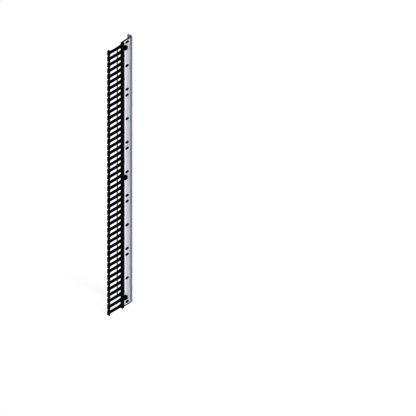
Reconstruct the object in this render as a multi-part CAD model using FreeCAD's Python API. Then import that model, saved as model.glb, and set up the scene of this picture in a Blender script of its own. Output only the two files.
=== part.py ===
import FreeCAD, Part
import math
import os

# A vertical cable manager, 45 rack units tall: five black moulded finger combs screwed to a folded
# steel side panel, a tie rod through the fingers, and three mounting blocks with captive screws.
# Grommets line the panel's cable-tie slots, strips cover its two cut ends and a plug sits in its ear.
# Millimetres. The origin is the centre of the lowest block's seat, +X points into the rack,
# +Y to the rear of the cabinet and +Z up. The fingers point to the front, along -Y.

V = FreeCAD.Vector

# Rack standard
rack_unit = 44.45
rail_hole_step = 15.875

# Clearances, and the length below which two points of an outline are one
fit_gap = 0.3
joint_gap = 0.6
same_point = 1e-6

# Finger combs
comb_count = 5
fingers_per_comb = 9
comb_depth = 13.0
spine_width = 16.5
spine_to_block = 1.8
spine_corner = 3.0
finger_height = 10.7
finger_reach = 105.3
flare_length = 29.5
flare_rise = 4.5
flare_blend = 40.0
root_fillet = 2.0
head_width = 11.5
head_gap = 4.7
head_corner = 8.5
head_fillet = 5.0
comb_wall = 3.0
comb_skin = 3.0
pocket_corner = 3.5

# Screw bosses on the spine, a little above these fingers of each comb
boss_fingers = (2, 6)
boss_rise = 9.4
boss_wall = 2.2
boss_proud = 2.5
boss_raise = 1.0

# Locating notches in the spine's rear edge, a little below the same fingers
notch_drop = 5.7
notch_height = 7.0
notch_depth = 2.6
notch_corner = 0.8

# Comb screws and the clinch nuts that take them
comb_screw_radius = 2.5
comb_screw_head_radius = 4.5
comb_screw_head_height = 3.4
comb_screw_sink = 4.0
nut_radius = 4.75
nut_height = 4.0
nut_shank_radius = 3.6

# Tie rod
rod_radius = 2.5
rod_first_finger = 0
rod_last_finger = 42
rod_cap_radius = 4.0
rod_cap_height = 4.0
rod_cap_wall = 1.0
rod_cap_margin = 0.3

# Folded side panel
sheet = 1.5
bend_radius = 1.5
web_reach = 63.5
web_set_back = 1.0
flange_depth = 20.0
end_margin = 23.6
flange_chamfer = 18.0
edge_corner = 1.0

# Cable-tie slots in the panel, at these fingers of each comb
slot_fingers = (0, 4, 8)
slot_length = 20.0
slot_width = 10.0
slot_from_fold = 25.0

# Moulded grommets in the slots: a lip in front, a body through the sheet, a barb behind it
grommet_lip = 3.0
grommet_lip_thickness = 1.0
grommet_wall = 1.6
grommet_tail = 4.0
grommet_barb = 0.8
grommet_barb_thickness = 1.0

# Strips pushed on the web's upper and lower edge
strip_wall = 0.8
strip_leg = 5.0
strip_inset = 0.5

# Hook ear at the top of the panel's flange, which drops down behind the web
ear_reach = 22.0
ear_rise = 18.5
ear_drop = 20.0
ear_corner = 10.0
ear_tip_corner = 4.0
ear_relief = 1.5

# Plug pushed from the front into a hole at the ear's root
plug_from_fold = 5.5
plug_above_web = 7.9
plug_head_radius = 4.2
plug_head_thickness = 1.5
plug_radius = 3.0
plug_tail = 3.5
plug_barb = 0.6
plug_barb_thickness = 1.2

# Mounting blocks
block_width = 26.0
block_height = 24.0
block_depth = 16.0
block_corner = 4.0
block_edge = 1.0
block_front_wall = 3.0
block_cavity_radius = 7.0
units_to_middle_block = 20
units_to_top_block = 22
finger_above_top_block = 28.575

# Screws that hold each block to the panel
block_screw_radius = 1.75
block_screw_head_radius = 3.4
block_screw_head_height = 2.2
block_screw_bite = 9.0
block_screw_across = 17.0
block_screw_up = 15.0

# Captive mounting screws, their washers and retaining rings
screw_radius = 3.0
screw_tip_reach = 10.0
screw_tip_chamfer = 1.0
screw_head_radius = 6.5
screw_head_height = 7.0
screw_head_edge = 0.8
screw_slot_width = 1.6
screw_slot_depth = 2.0
screw_neck_radius = 2.3
washer_radius = 7.0
washer_thickness = 1.2
ring_thickness = 1.5
ring_clearance = 0.5

# Places along X, from the seat back to the panel
panel_face_x = -block_depth
panel_back_x = panel_face_x - sheet
comb_face_x = panel_face_x + comb_depth
flange_tip_x = panel_face_x + flange_depth
rod_x = panel_face_x + comb_depth / 2
cavity_end_x = -block_front_wall
ring_front_x = panel_face_x + ring_thickness
thread_start_x = 0.0
head_seat_x = panel_back_x - washer_thickness

# Places along Y, from the captive screws' line
spine_rear_y = -block_width / 2 - spine_to_block
spine_front_y = spine_rear_y - spine_width
spine_middle_y = spine_rear_y - spine_width / 2
boss_radius = comb_screw_head_radius + fit_gap + boss_wall
boss_y = spine_rear_y + boss_proud - boss_radius
head_inner_y = spine_front_y - finger_reach
head_outer_y = head_inner_y - head_width
flare_turn = math.atan2(flare_rise, flare_length)
flare_start_y = spine_front_y - flare_length - flare_blend * math.tan(flare_turn / 2)
rod_y = flare_start_y - rod_cap_radius - rod_cap_margin
fold_y = spine_rear_y + web_reach
flange_back_y = fold_y + sheet
slot_y = fold_y - slot_from_fold
plug_x = panel_face_x + plug_from_fold
web_front_y = spine_front_y + web_set_back

# Places along Z, from the lowest captive screw
middle_fixing_z = units_to_middle_block * rack_unit + rail_hole_step
fixing_heights = {
    "bottom": 0.0,
    "middle": middle_fixing_z,
    "top": middle_fixing_z + units_to_top_block * rack_unit,
}
first_finger_z = fixing_heights["top"] + finger_above_top_block
last_finger = comb_count * fingers_per_comb - 1
head_height = rack_unit - head_gap

# How far a captive screw draws back before its thread meets the retaining ring
screw_travel = thread_start_x - ring_front_x - ring_clearance


def finger_z(finger):
    """Height of a finger's centre line, counted from 0 at the top."""
    return first_finger_z - finger * rack_unit


panel_top_z = finger_z(0) + end_margin
panel_bottom_z = finger_z(last_finger) - end_margin
ear_top_z = panel_top_z + ear_rise
plug_z = panel_top_z + plug_above_web
rod_top_z = finger_z(rod_first_finger) + finger_height / 2
rod_bottom_z = finger_z(rod_last_finger) - finger_height / 2


def rounded_wire(corners, place):
    """Closed wire through corners (a, b, radius), each turned by a tangent arc.

    place turns a pair (a, b) into a point in space.
    """
    edges = []
    stops = []
    count = len(corners)
    for index, (a, b, radius) in enumerate(corners):
        before = corners[index - 1]
        after = corners[(index + 1) % count]
        corner = V(a, b, 0)
        to_before = (V(before[0], before[1], 0) - corner).normalize()
        to_after = (V(after[0], after[1], 0) - corner).normalize()
        if radius <= 0:
            stops.append((corner, None, corner))
            continue
        half_angle = to_before.getAngle(to_after) / 2
        start = corner + to_before * (radius / math.tan(half_angle))
        end = corner + to_after * (radius / math.tan(half_angle))
        bisector = (to_before + to_after).normalize()
        middle = corner + bisector * (radius / math.sin(half_angle) - radius)
        stops.append((start, middle, end))
    for index, (start, middle, end) in enumerate(stops):
        next_start = stops[(index + 1) % count][0]
        if middle is not None:
            arc = Part.Arc(place(start.x, start.y), place(middle.x, middle.y), place(end.x, end.y))
            edges.append(arc.toShape())
        if end.distanceToPoint(next_start) > same_point:
            line = Part.LineSegment(place(end.x, end.y), place(next_start.x, next_start.y))
            edges.append(line.toShape())
    return Part.Wire(edges)


def plate_along_x(corners, x_from, x_to):
    """Solid of a (y, z, radius) outline, from one X to another."""
    wire = rounded_wire(corners, lambda y, z: V(x_from, y, z))
    return Part.Face(wire).extrude(V(x_to - x_from, 0, 0))


def plate_along_y(corners, y_from, y_to):
    """Solid of an (x, z, radius) outline, from one Y to another."""
    wire = rounded_wire(corners, lambda x, z: V(x, y_from, z))
    return Part.Face(wire).extrude(V(0, y_to - y_from, 0))


def disc_along_x(radius, x_from, x_to, y, z):
    """Round bar along X between two X values."""
    return Part.makeCylinder(radius, x_to - x_from, V(x_from, y, z), V(1, 0, 0))


def turned_about_x(profile, y, z):
    """Solid turned about an X-wise axis from (x, radius) points."""
    points = [V(x, radius, 0) for x, radius in profile]
    face = Part.Face(Part.makePolygon(points + points[:1]))
    solid = face.revolve(V(0, 0, 0), V(1, 0, 0), 360)
    solid.translate(V(0, y, z))
    return solid


def rounded_box_outline(y_middle, z_middle, width, height, radius):
    """Corners of an upright rectangle with rounded corners."""
    half_width = width / 2
    half_height = height / 2
    return [
        (y_middle - half_width, z_middle - half_height, radius),
        (y_middle + half_width, z_middle - half_height, radius),
        (y_middle + half_width, z_middle + half_height, radius),
        (y_middle - half_width, z_middle + half_height, radius),
    ]


def save(node, shape):
    """Write one sub-part to its STEP file."""
    shape.exportStep("parts/" + node + ".step")


# Finger comb

def finger_outline(z):
    """Outline of one finger and its T head, from the spine out along the top and back below."""
    top = z + finger_height / 2
    bottom = z - finger_height / 2
    head_top = z + head_height / 2
    head_bottom = z - head_height / 2
    return [
        (spine_front_y, top + flare_rise, root_fillet),
        (spine_front_y - flare_length, top, flare_blend),
        (head_inner_y, top, head_fillet),
        (head_inner_y, head_top, 0),
        (head_outer_y, head_top, head_corner),
        (head_outer_y, head_bottom, head_corner),
        (head_inner_y, head_bottom, 0),
        (head_inner_y, bottom, head_fillet),
        (spine_front_y, bottom, root_fillet),
    ]


def finger_pocket(z):
    """T-shaped hollow that cores a finger and its head from the back."""
    half_slot = finger_height / 2 - comb_wall
    half_head = head_height / 2 - comb_wall
    root = spine_front_y - comb_wall
    neck = head_inner_y - comb_wall
    tip = head_outer_y + comb_wall
    outline = [
        (root, z + half_slot, 0),
        (neck, z + half_slot, 0),
        (neck, z + half_head, 0),
        (tip, z + half_head, pocket_corner),
        (tip, z - half_head, pocket_corner),
        (neck, z - half_head, 0),
        (neck, z - half_slot, 0),
        (root, z - half_slot, 0),
    ]
    return plate_along_x(outline, panel_face_x, comb_face_x - comb_skin)


def spine_pocket(z_upper, z_lower):
    """Hollow in the back of the spine between two fingers' ribs."""
    rib = finger_height / 2
    width = spine_width - 2 * comb_wall
    height = z_upper - z_lower - 2 * rib
    outline = rounded_box_outline(spine_middle_y, (z_upper + z_lower) / 2, width, height, 0)
    return plate_along_x(outline, panel_face_x, comb_face_x - comb_skin)


def boss_heights(comb):
    """Heights of one comb's two screw bosses, from the top down."""
    return [finger_z(comb * fingers_per_comb + step) + boss_rise for step in boss_fingers]


def notch_heights(comb):
    """Middle heights of one comb's two locating notches, from the top down."""
    return [finger_z(comb * fingers_per_comb + step) - notch_drop for step in boss_fingers]


def notch_outline(z):
    """Corners of one notch in the rear edge, from its lower end to its upper end."""
    floor_y = spine_rear_y - notch_depth
    low = z - notch_height / 2
    high = z + notch_height / 2
    return [
        (spine_rear_y, low, notch_corner),
        (floor_y, low, notch_corner),
        (floor_y, high, notch_corner),
        (spine_rear_y, high, notch_corner),
    ]


def boss_bar(z, x_to):
    """Round bar of a screw boss's size, from the panel to an X value."""
    return disc_along_x(boss_radius, panel_face_x, x_to, boss_y, z)


def solid_places(comb):
    """Where the spine's hollows stop: round the screw bosses and behind the notches."""
    places = [boss_bar(z, comb_face_x) for z in boss_heights(comb)]
    width = 2 * (notch_depth + comb_wall)
    height = notch_height + 2 * comb_wall
    for z in notch_heights(comb):
        guard = rounded_box_outline(spine_rear_y, z, width, height, 0)
        places.append(plate_along_x(guard, panel_face_x, comb_face_x))
    return Part.makeCompound(places)


def make_comb(comb):
    """One moulded comb: spine, nine fingers with T heads, two screw bosses, cored from the back."""
    fingers = [comb * fingers_per_comb + step for step in range(fingers_per_comb)]
    top_end = finger_z(fingers[0]) + rack_unit / 2 - joint_gap / 2
    bottom_end = finger_z(fingers[-1]) - rack_unit / 2 + joint_gap / 2
    outline = [(spine_rear_y, top_end, spine_corner), (spine_front_y, top_end, spine_corner)]
    for finger in fingers:
        outline += finger_outline(finger_z(finger))
    outline += [(spine_front_y, bottom_end, spine_corner), (spine_rear_y, bottom_end, spine_corner)]
    for z in reversed(notch_heights(comb)):
        outline += notch_outline(z)
    body = plate_along_x(outline, panel_face_x, comb_face_x)

    boss_face_x = comb_face_x + boss_raise
    sink_x = boss_face_x - comb_screw_sink
    body = body.fuse([boss_bar(z, boss_face_x) for z in boss_heights(comb)]).removeSplitter()

    cuts = []
    for z in boss_heights(comb):
        head_hole = comb_screw_head_radius + fit_gap
        cuts.append(disc_along_x(head_hole, sink_x, boss_face_x, boss_y, z))
        shank_hole = comb_screw_radius + fit_gap
        cuts.append(disc_along_x(shank_hole, panel_face_x, sink_x, boss_y, z))
    for finger in fingers:
        cuts.append(finger_pocket(finger_z(finger)))
    for upper, lower in zip(fingers[:-1], fingers[1:]):
        pocket = spine_pocket(finger_z(upper), finger_z(lower))
        cuts.append(pocket.cut(solid_places(comb)))
    hole_bottom = max(bottom_end, rod_bottom_z)
    rod_hole = Part.makeCylinder(
        rod_radius + fit_gap, top_end - hole_bottom, V(rod_x, rod_y, hole_bottom), V(0, 0, 1))
    cuts.append(rod_hole)
    return body.cut(cuts).removeSplitter()


def make_comb_screws(comb):
    """The two cheese-head screws of one comb."""
    seat_x = comb_face_x + boss_raise - comb_screw_sink
    head_x = seat_x + comb_screw_head_height
    end_x = panel_back_x - nut_height
    profile = [
        (end_x, 0),
        (end_x, comb_screw_radius),
        (seat_x, comb_screw_radius),
        (seat_x, comb_screw_head_radius),
        (head_x, comb_screw_head_radius),
        (head_x, 0),
    ]
    return Part.makeCompound([turned_about_x(profile, boss_y, z) for z in boss_heights(comb)])


def make_clinch_nuts(comb):
    """The two press-in nuts of one comb, each with its shank in the sheet and its body behind it."""
    bore = comb_screw_radius + fit_gap
    back_x = panel_back_x - nut_height
    profile = [
        (back_x, bore),
        (back_x, nut_radius),
        (panel_back_x, nut_radius),
        (panel_back_x, nut_shank_radius),
        (panel_face_x, nut_shank_radius),
        (panel_face_x, bore),
    ]
    return Part.makeCompound([turned_about_x(profile, boss_y, z) for z in boss_heights(comb)])


# Tie rod

def make_tie_rod():
    """Round rod through the fingers, held at each end by a cap."""
    reach = rod_cap_height - rod_cap_wall - fit_gap
    length = rod_top_z - rod_bottom_z + 2 * reach
    return Part.makeCylinder(rod_radius, length, V(rod_x, rod_y, rod_bottom_z - reach), V(0, 0, 1))


def make_rod_cap(z_seat, direction):
    """Push-on cap whose open end sits on a finger's face."""
    depth = rod_cap_height - rod_cap_wall
    seat = V(rod_x, rod_y, z_seat)
    axis = V(0, 0, direction)
    cap = Part.makeCylinder(rod_cap_radius, rod_cap_height, seat, axis)
    rim = [edge for edge in cap.Edges if abs(edge.CenterOfMass.z - z_seat) > rod_cap_height / 2
           and edge.Curve.TypeId == "Part::GeomCircle"]
    cap = cap.makeFillet(rod_cap_wall, rim)
    return cap.cut(Part.makeCylinder(rod_radius + fit_gap, depth, seat, axis))


# Side panel

def folded_sheet():
    """L-shaped section of web and rear flange, with the bend's inner and outer radius."""
    bend_start_y = fold_y - bend_radius
    bend_end_x = panel_face_x + bend_radius
    turn = math.sqrt(0.5)
    inner_radius = bend_radius
    outer_radius = bend_radius + sheet
    centre = V(bend_end_x, bend_start_y, panel_bottom_z)

    def point(x, y):
        return V(x, y, panel_bottom_z)

    def bend(radius, start, end):
        middle = centre + V(-turn * radius, turn * radius, 0)
        return Part.Arc(start, middle, end).toShape()

    corners = [
        point(panel_back_x, bend_start_y),
        point(panel_back_x, web_front_y),
        point(panel_face_x, web_front_y),
        point(panel_face_x, bend_start_y),
    ]
    edges = [Part.LineSegment(a, b).toShape() for a, b in zip(corners[:-1], corners[1:])]
    edges.append(bend(inner_radius, corners[-1], point(bend_end_x, fold_y)))
    tip = [
        point(bend_end_x, fold_y),
        point(flange_tip_x, fold_y),
        point(flange_tip_x, flange_back_y),
        point(bend_end_x, flange_back_y),
    ]
    edges += [Part.LineSegment(a, b).toShape() for a, b in zip(tip[:-1], tip[1:])]
    edges.append(bend(outer_radius, tip[-1], corners[0]))
    section = Part.Face(Part.Wire(edges))
    return section.extrude(V(0, 0, panel_top_z - panel_bottom_z))


def hook_ear():
    """Flat ear that carries the flange up past the web, back over it and down behind it."""
    inner_x = panel_face_x + bend_radius
    hook_x = panel_back_x - ear_relief
    ear_back_x = panel_face_x - ear_reach
    lap_z = panel_top_z - ear_rise
    ear_foot_z = panel_top_z + ear_relief
    hook_foot_z = panel_top_z - ear_drop
    outline = [
        (inner_x, lap_z, 0),
        (flange_tip_x, lap_z, 0),
        (flange_tip_x, ear_top_z, ear_corner),
        (ear_back_x, ear_top_z, ear_corner),
        (ear_back_x, hook_foot_z, ear_tip_corner),
        (hook_x, hook_foot_z, ear_tip_corner),
        (hook_x, ear_foot_z, edge_corner),
        (inner_x, ear_foot_z, 0),
    ]
    return plate_along_y(outline, fold_y, flange_back_y)


def bar_at_plug(radius, y_from, y_to):
    """Round bar along Y on the plug's axis."""
    return Part.makeCylinder(radius, y_to - y_from, V(plug_x, y_from, plug_z), V(0, 1, 0))


def oblong_at_slot(z, margin, x_from, x_to):
    """Oblong bar along X at one cable-tie slot, larger than the slot by a margin all round."""
    length = slot_length + 2 * margin
    width = slot_width + 2 * margin
    return plate_along_x(rounded_box_outline(slot_y, z, length, width, width / 2), x_from, x_to)


def slot_heights(comb):
    """Heights of the cable-tie slots behind one comb, from the top down."""
    return [finger_z(comb * fingers_per_comb + step) for step in slot_fingers]


def hole_cutter(radius, y, z):
    """Round hole through the web."""
    return disc_along_x(radius, panel_back_x - sheet, panel_face_x + sheet, y, z)


def block_screw_places(z_fixing):
    """Where the two screws of one block go, on a diagonal."""
    half_across = block_screw_across / 2
    half_up = block_screw_up / 2
    return [(half_across, z_fixing + half_up), (-half_across, z_fixing - half_up)]


def make_side_panel():
    """Folded steel panel with its ear, cable-tie slots, nut holes and fixing holes."""
    panel = folded_sheet().fuse(hook_ear()).removeSplitter()
    chamfer = [
        (flange_tip_x - flange_chamfer, panel_bottom_z, 0),
        (flange_tip_x + sheet, panel_bottom_z - sheet, 0),
        (flange_tip_x + sheet, panel_bottom_z + flange_chamfer + sheet, 0),
    ]
    cuts = [plate_along_y(chamfer, fold_y - sheet, flange_back_y + sheet)]
    cuts.append(bar_at_plug(plug_radius + fit_gap, fold_y - sheet, flange_back_y + sheet))
    for comb in range(comb_count):
        for z in slot_heights(comb):
            cuts.append(oblong_at_slot(z, 0, panel_back_x - sheet, panel_face_x + sheet))
        for z in boss_heights(comb):
            cuts.append(hole_cutter(nut_shank_radius + fit_gap, boss_y, z))
    for z_fixing in fixing_heights.values():
        cuts.append(hole_cutter(screw_radius + fit_gap, 0, z_fixing))
        for y, z in block_screw_places(z_fixing):
            cuts.append(hole_cutter(block_screw_radius + fit_gap, y, z))
    return panel.cut(cuts)


def make_slot_grommets(comb):
    """The grommets of the slots behind one comb."""
    front_x = panel_face_x + grommet_lip_thickness
    back_x = panel_back_x - grommet_tail
    grommets = []
    for z in slot_heights(comb):
        lip = oblong_at_slot(z, grommet_lip, panel_face_x, front_x)
        body = oblong_at_slot(z, -fit_gap, back_x, front_x)
        barb = oblong_at_slot(z, grommet_barb, panel_back_x - grommet_barb_thickness, panel_back_x)
        opening = oblong_at_slot(z, -fit_gap - grommet_wall, back_x, front_x)
        grommets.append(lip.fuse([body, barb]).removeSplitter().cut(opening))
    return Part.makeCompound(grommets)


def make_ear_plug():
    """Moulded plug: a flat head before the ear, a shank through it and a barb behind."""
    head = bar_at_plug(plug_head_radius, fold_y - plug_head_thickness, fold_y)
    shank = bar_at_plug(plug_radius, fold_y - plug_head_thickness, flange_back_y + plug_tail)
    barb = bar_at_plug(plug_radius + plug_barb, flange_back_y, flange_back_y + plug_barb_thickness)
    return head.fuse([shank, barb]).removeSplitter()


def make_edge_strip(z_edge, direction):
    """U-shaped strip on one edge of the web; direction is 1 on the upper edge, -1 on the lower."""
    foot_z = z_edge - direction * strip_leg
    crown_z = z_edge + direction * strip_wall
    front_x = panel_face_x + strip_wall
    back_x = panel_back_x - strip_wall
    outline = [
        (back_x, foot_z, 0),
        (back_x, crown_z, strip_wall),
        (front_x, crown_z, strip_wall),
        (front_x, foot_z, 0),
        (panel_face_x, foot_z, 0),
        (panel_face_x, z_edge, 0),
        (panel_back_x, z_edge, 0),
        (panel_back_x, foot_z, 0),
    ]
    return plate_along_y(outline, spine_rear_y + strip_inset, fold_y - bend_radius - strip_inset)


# Mounting blocks

def make_block(z_fixing):
    """Moulded stand-off block with a stepped bore for its captive screw and two screw holes."""
    outline = rounded_box_outline(0, z_fixing, block_width, block_height, block_corner)
    block = plate_along_x(outline, panel_face_x, 0)
    front_edges = [edge for edge in block.Edges if abs(edge.BoundBox.XMin) < same_point]
    block = block.makeChamfer(block_edge, front_edges)
    cuts = [
        disc_along_x(block_cavity_radius, panel_face_x, cavity_end_x, 0, z_fixing),
        disc_along_x(screw_radius + fit_gap, cavity_end_x, 0, 0, z_fixing),
    ]
    for y, z in block_screw_places(z_fixing):
        hole = block_screw_radius + fit_gap
        cuts.append(disc_along_x(hole, panel_face_x, panel_face_x + block_screw_bite + fit_gap, y, z))
    return block.cut(cuts)


def make_block_screws(z_fixing):
    """The two pan-head screws that hold one block from behind the panel."""
    head_x = panel_back_x - block_screw_head_height
    profile = [
        (head_x, 0),
        (head_x, block_screw_head_radius),
        (panel_back_x, block_screw_head_radius),
        (panel_back_x, block_screw_radius),
        (panel_face_x + block_screw_bite, block_screw_radius),
        (panel_face_x + block_screw_bite, 0),
    ]
    return Part.makeCompound([turned_about_x(profile, y, z) for y, z in block_screw_places(z_fixing)])


# Captive mounting screws

def make_captive_screw(z_fixing):
    """Slotted screw with a thin neck, which its retaining ring runs on, and a chamfered tip."""
    head_x = head_seat_x - screw_head_height
    profile = [
        (head_x, 0),
        (head_x, screw_head_radius - screw_head_edge),
        (head_x + screw_head_edge, screw_head_radius),
        (head_seat_x, screw_head_radius),
        (head_seat_x, screw_neck_radius),
        (thread_start_x, screw_neck_radius),
        (thread_start_x, screw_radius),
        (screw_tip_reach - screw_tip_chamfer, screw_radius),
        (screw_tip_reach, screw_radius - screw_tip_chamfer),
        (screw_tip_reach, 0),
    ]
    screw = turned_about_x(profile, 0, z_fixing)
    slot = Part.makeBox(
        screw_slot_depth, screw_slot_width, 2 * screw_head_radius,
        V(head_x, -screw_slot_width / 2, z_fixing - screw_head_radius))
    return screw.cut(slot)


def make_washer(z_fixing):
    """Flat washer between the captive screw's head and the panel."""
    bore = screw_radius + fit_gap
    profile = [
        (head_seat_x, bore),
        (head_seat_x, washer_radius),
        (panel_back_x, washer_radius),
        (panel_back_x, bore),
    ]
    return turned_about_x(profile, 0, z_fixing)


def make_retaining_ring(z_fixing):
    """Nylon ring in the block's cavity, too narrow for the thread, which keeps the screw in."""
    bore = screw_neck_radius + fit_gap
    rim = block_cavity_radius - fit_gap
    profile = [
        (panel_face_x, bore),
        (panel_face_x, rim),
        (ring_front_x, rim),
        (ring_front_x, bore),
    ]
    return turned_about_x(profile, 0, z_fixing)


# Write every sub-part

os.makedirs("parts", exist_ok=True)

save("side_panel", make_side_panel())
for comb_index in range(comb_count):
    number = str(comb_index + 1)
    save("finger_comb_" + number, make_comb(comb_index))
    save("comb_screws_" + number, make_comb_screws(comb_index))
    save("clinch_nuts_" + number, make_clinch_nuts(comb_index))
    save("slot_grommets_" + number, make_slot_grommets(comb_index))

save("tie_rod", make_tie_rod())
save("rod_cap_top", make_rod_cap(rod_top_z, 1))
save("rod_cap_bottom", make_rod_cap(rod_bottom_z, -1))
save("ear_plug", make_ear_plug())
save("edge_strip_top", make_edge_strip(panel_top_z, 1))
save("edge_strip_bottom", make_edge_strip(panel_bottom_z, -1))

for place_name, fixing_z in fixing_heights.items():
    save("mounting_block_" + place_name, make_block(fixing_z))
    save("block_screws_" + place_name, make_block_screws(fixing_z))
    save("captive_screw_" + place_name, make_captive_screw(fixing_z))
    save("screw_washer_" + place_name, make_washer(fixing_z))
    save("retaining_ring_" + place_name, make_retaining_ring(fixing_z))
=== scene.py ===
"""Finer meshes, finishes, light and camera for the vertical cable manager.

Sizes are in millimetres and turn to metres where a mesh is made. The origin is the centre of the
lowest block's seat, +X points into the rack, +Y to the rear of the cabinet and +Z up.
"""

from __future__ import annotations

import logging
import math
from collections.abc import Callable, Sequence
from dataclasses import dataclass
from enum import Enum
from functools import partial
from typing import NamedTuple

import bmesh
import bpy
from mathutils import Matrix, Vector

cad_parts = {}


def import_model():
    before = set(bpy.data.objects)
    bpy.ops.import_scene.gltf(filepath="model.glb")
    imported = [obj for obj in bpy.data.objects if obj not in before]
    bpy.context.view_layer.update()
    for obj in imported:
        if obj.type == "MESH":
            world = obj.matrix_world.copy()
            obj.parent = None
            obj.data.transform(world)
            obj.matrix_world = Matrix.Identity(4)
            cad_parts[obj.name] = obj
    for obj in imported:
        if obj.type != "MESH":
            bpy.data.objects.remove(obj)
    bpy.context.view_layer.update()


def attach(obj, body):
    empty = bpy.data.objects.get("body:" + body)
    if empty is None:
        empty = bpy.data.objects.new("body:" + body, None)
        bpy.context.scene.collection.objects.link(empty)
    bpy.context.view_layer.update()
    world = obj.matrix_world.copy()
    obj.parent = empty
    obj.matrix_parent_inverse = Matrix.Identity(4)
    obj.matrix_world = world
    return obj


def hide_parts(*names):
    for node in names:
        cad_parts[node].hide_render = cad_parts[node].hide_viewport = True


MM = 0.001
MERGE_DISTANCE = 1e-6
SMALLEST_RADIUS = 0.05
# How far a cutting shape reaches past what it cuts
OVERSHOOT = 1.0
LOG = logging.getLogger("cable_manager")

Point2 = tuple[float, float]
Point3 = tuple[float, float, float]
Shape = bmesh.types.BMesh
Piece = bpy.types.Object
Material = bpy.types.Material
Tree = bpy.types.NodeTree
Socket = bpy.types.NodeSocket
Outputs = bpy.types.bpy_prop_collection


class Slot(Enum):
    """The record's material slots."""

    PANEL = "panel_paint"
    COMB = "comb_plastic"
    BLOCK = "block_plastic"
    ROD = "rod_steel"
    BLACK_ZINC = "black_zinc"
    BRIGHT_ZINC = "bright_zinc"
    NYLON = "nylon"
    RUBBER = "edge_rubber"


class Section(Enum):
    """The shape that a turned piece has across its axis."""

    ROUND = "round"
    HEXAGON = "hexagon"
    KNURL = "knurl"
    THREAD = "thread"


class Corner(NamedTuple):
    """A corner of an outline: its place and, where it is rounded, the arc's radius and steps."""

    a: float
    b: float
    radius: float = 0.0
    steps: int = 0


class Ring(NamedTuple):
    """A ring of a turned shape: its place along the axis, its radius and its section."""

    x: float
    radius: float
    section: Section = Section.ROUND


# Corners and rings are written as plain tuples, and the functions that take them name their values.
# A rounded edge is a row of pairs: how far back from the end, and how far in from the side.
Path = Sequence[tuple[float, ...]]
Rings = Sequence[tuple]


class End(Enum):
    """An upper or a lower end, and the way up or down out of it."""

    TOP = 1
    BOTTOM = -1


@dataclass(frozen=True)
class Layout:
    """Heights and planes that the sub-assemblies share."""

    rack_unit: float = 44.45
    comb_count: int = 5
    fingers_per_comb: int = 9
    first_finger_z: float = 1911.35
    spine_rear_y: float = -14.8
    panel_face_x: float = -16.0
    panel_back_x: float = -17.5
    panel_bottom_z: float = -68.05
    panel_top_z: float = 1934.95
    boss_fingers: tuple[int, int] = (2, 6)
    boss_rise: float = 9.4
    boss_y: float = -19.3
    rod_x: float = -9.5
    rod_y: float = -68.13
    fold_y: float = 48.7
    bend_radius: float = 1.5
    slot_fingers: tuple[int, ...] = (0, 4, 8)
    slot_length: float = 20.0
    slot_width: float = 10.0
    slot_y: float = 23.7
    plug_x: float = -10.5
    plug_z: float = 1942.85
    block_screw_places: tuple[Point2, Point2] = ((8.5, 7.5), (-8.5, -7.5))
    block_screw_hole: float = 2.05
    fixings: tuple[tuple[str, float], ...] = (("bottom", 0.0), ("middle", 904.875), ("top", 1882.775))

    def finger_z(self, comb: int, step: int) -> float:
        """Height of a finger's centre line."""
        return self.first_finger_z - (comb * self.fingers_per_comb + step) * self.rack_unit

    def boss_heights(self, comb: int) -> list[float]:
        """Heights of one comb's two screw bosses."""
        return [self.finger_z(comb, step) + self.boss_rise for step in self.boss_fingers]

    def slot_heights(self, comb: int) -> list[float]:
        """Heights of the cable-tie slots behind one comb."""
        return [self.finger_z(comb, step) for step in self.slot_fingers]


LAYOUT = Layout()


# Outlines and turned shapes


def rounded_path(path: Path, inset: float = 0.0, closed: bool = True) -> list[Point2]:
    """Points along an outline that is moved in by the same distance everywhere.

    Args:
        path: corners with the material on the left of the way from one to the next.
        inset: distance that the outline moves into the material.
        closed: whether the last corner leads back to the first.

    Returns:
        The points, as many of them whatever the inset.
    """
    points: list[Point2] = []
    corners = [Corner(*corner) for corner in path]
    places = [Vector(corner[:2]) for corner in corners]
    ways = [(there - here).normalized() for here, there in zip(places, [*places[1:], places[0]])]
    if not closed:
        ways[-1] = ways[-2]
    for index, corner in enumerate(corners):
        here, leave, radius, steps = places[index], ways[index], corner.radius, corner.steps
        come = ways[index - 1] if closed or index > 0 else leave
        left_in = Vector((-come.y, come.x))
        left_out = Vector((-leave.y, leave.x))
        place = here + (left_in + left_out) * (inset / (1 + left_in.dot(left_out)))
        turn = math.atan2(come.x * leave.y - come.y * leave.x, come.dot(leave))
        if steps == 0 or abs(turn) < MERGE_DISTANCE:
            points.append((place.x, place.y))
            continue
        side = 1 if turn > 0 else -1
        radius = max(radius - side * inset, SMALLEST_RADIUS)
        start = place - come * (radius * math.tan(abs(turn) / 2))
        centre = start + left_in * (side * radius)
        for step in range(steps + 1):
            spoke = centre + Matrix.Rotation(turn * step / steps, 2) @ (start - centre)
            points.append((spoke.x, spoke.y))
    return points


def mirrored(corners: Path) -> Path:
    """Corners of an outline's upper half, and then those of its lower half on the way back."""
    return [*corners, *((a, -b, radius, steps) for a, b, radius, steps in reversed(corners))]


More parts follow.
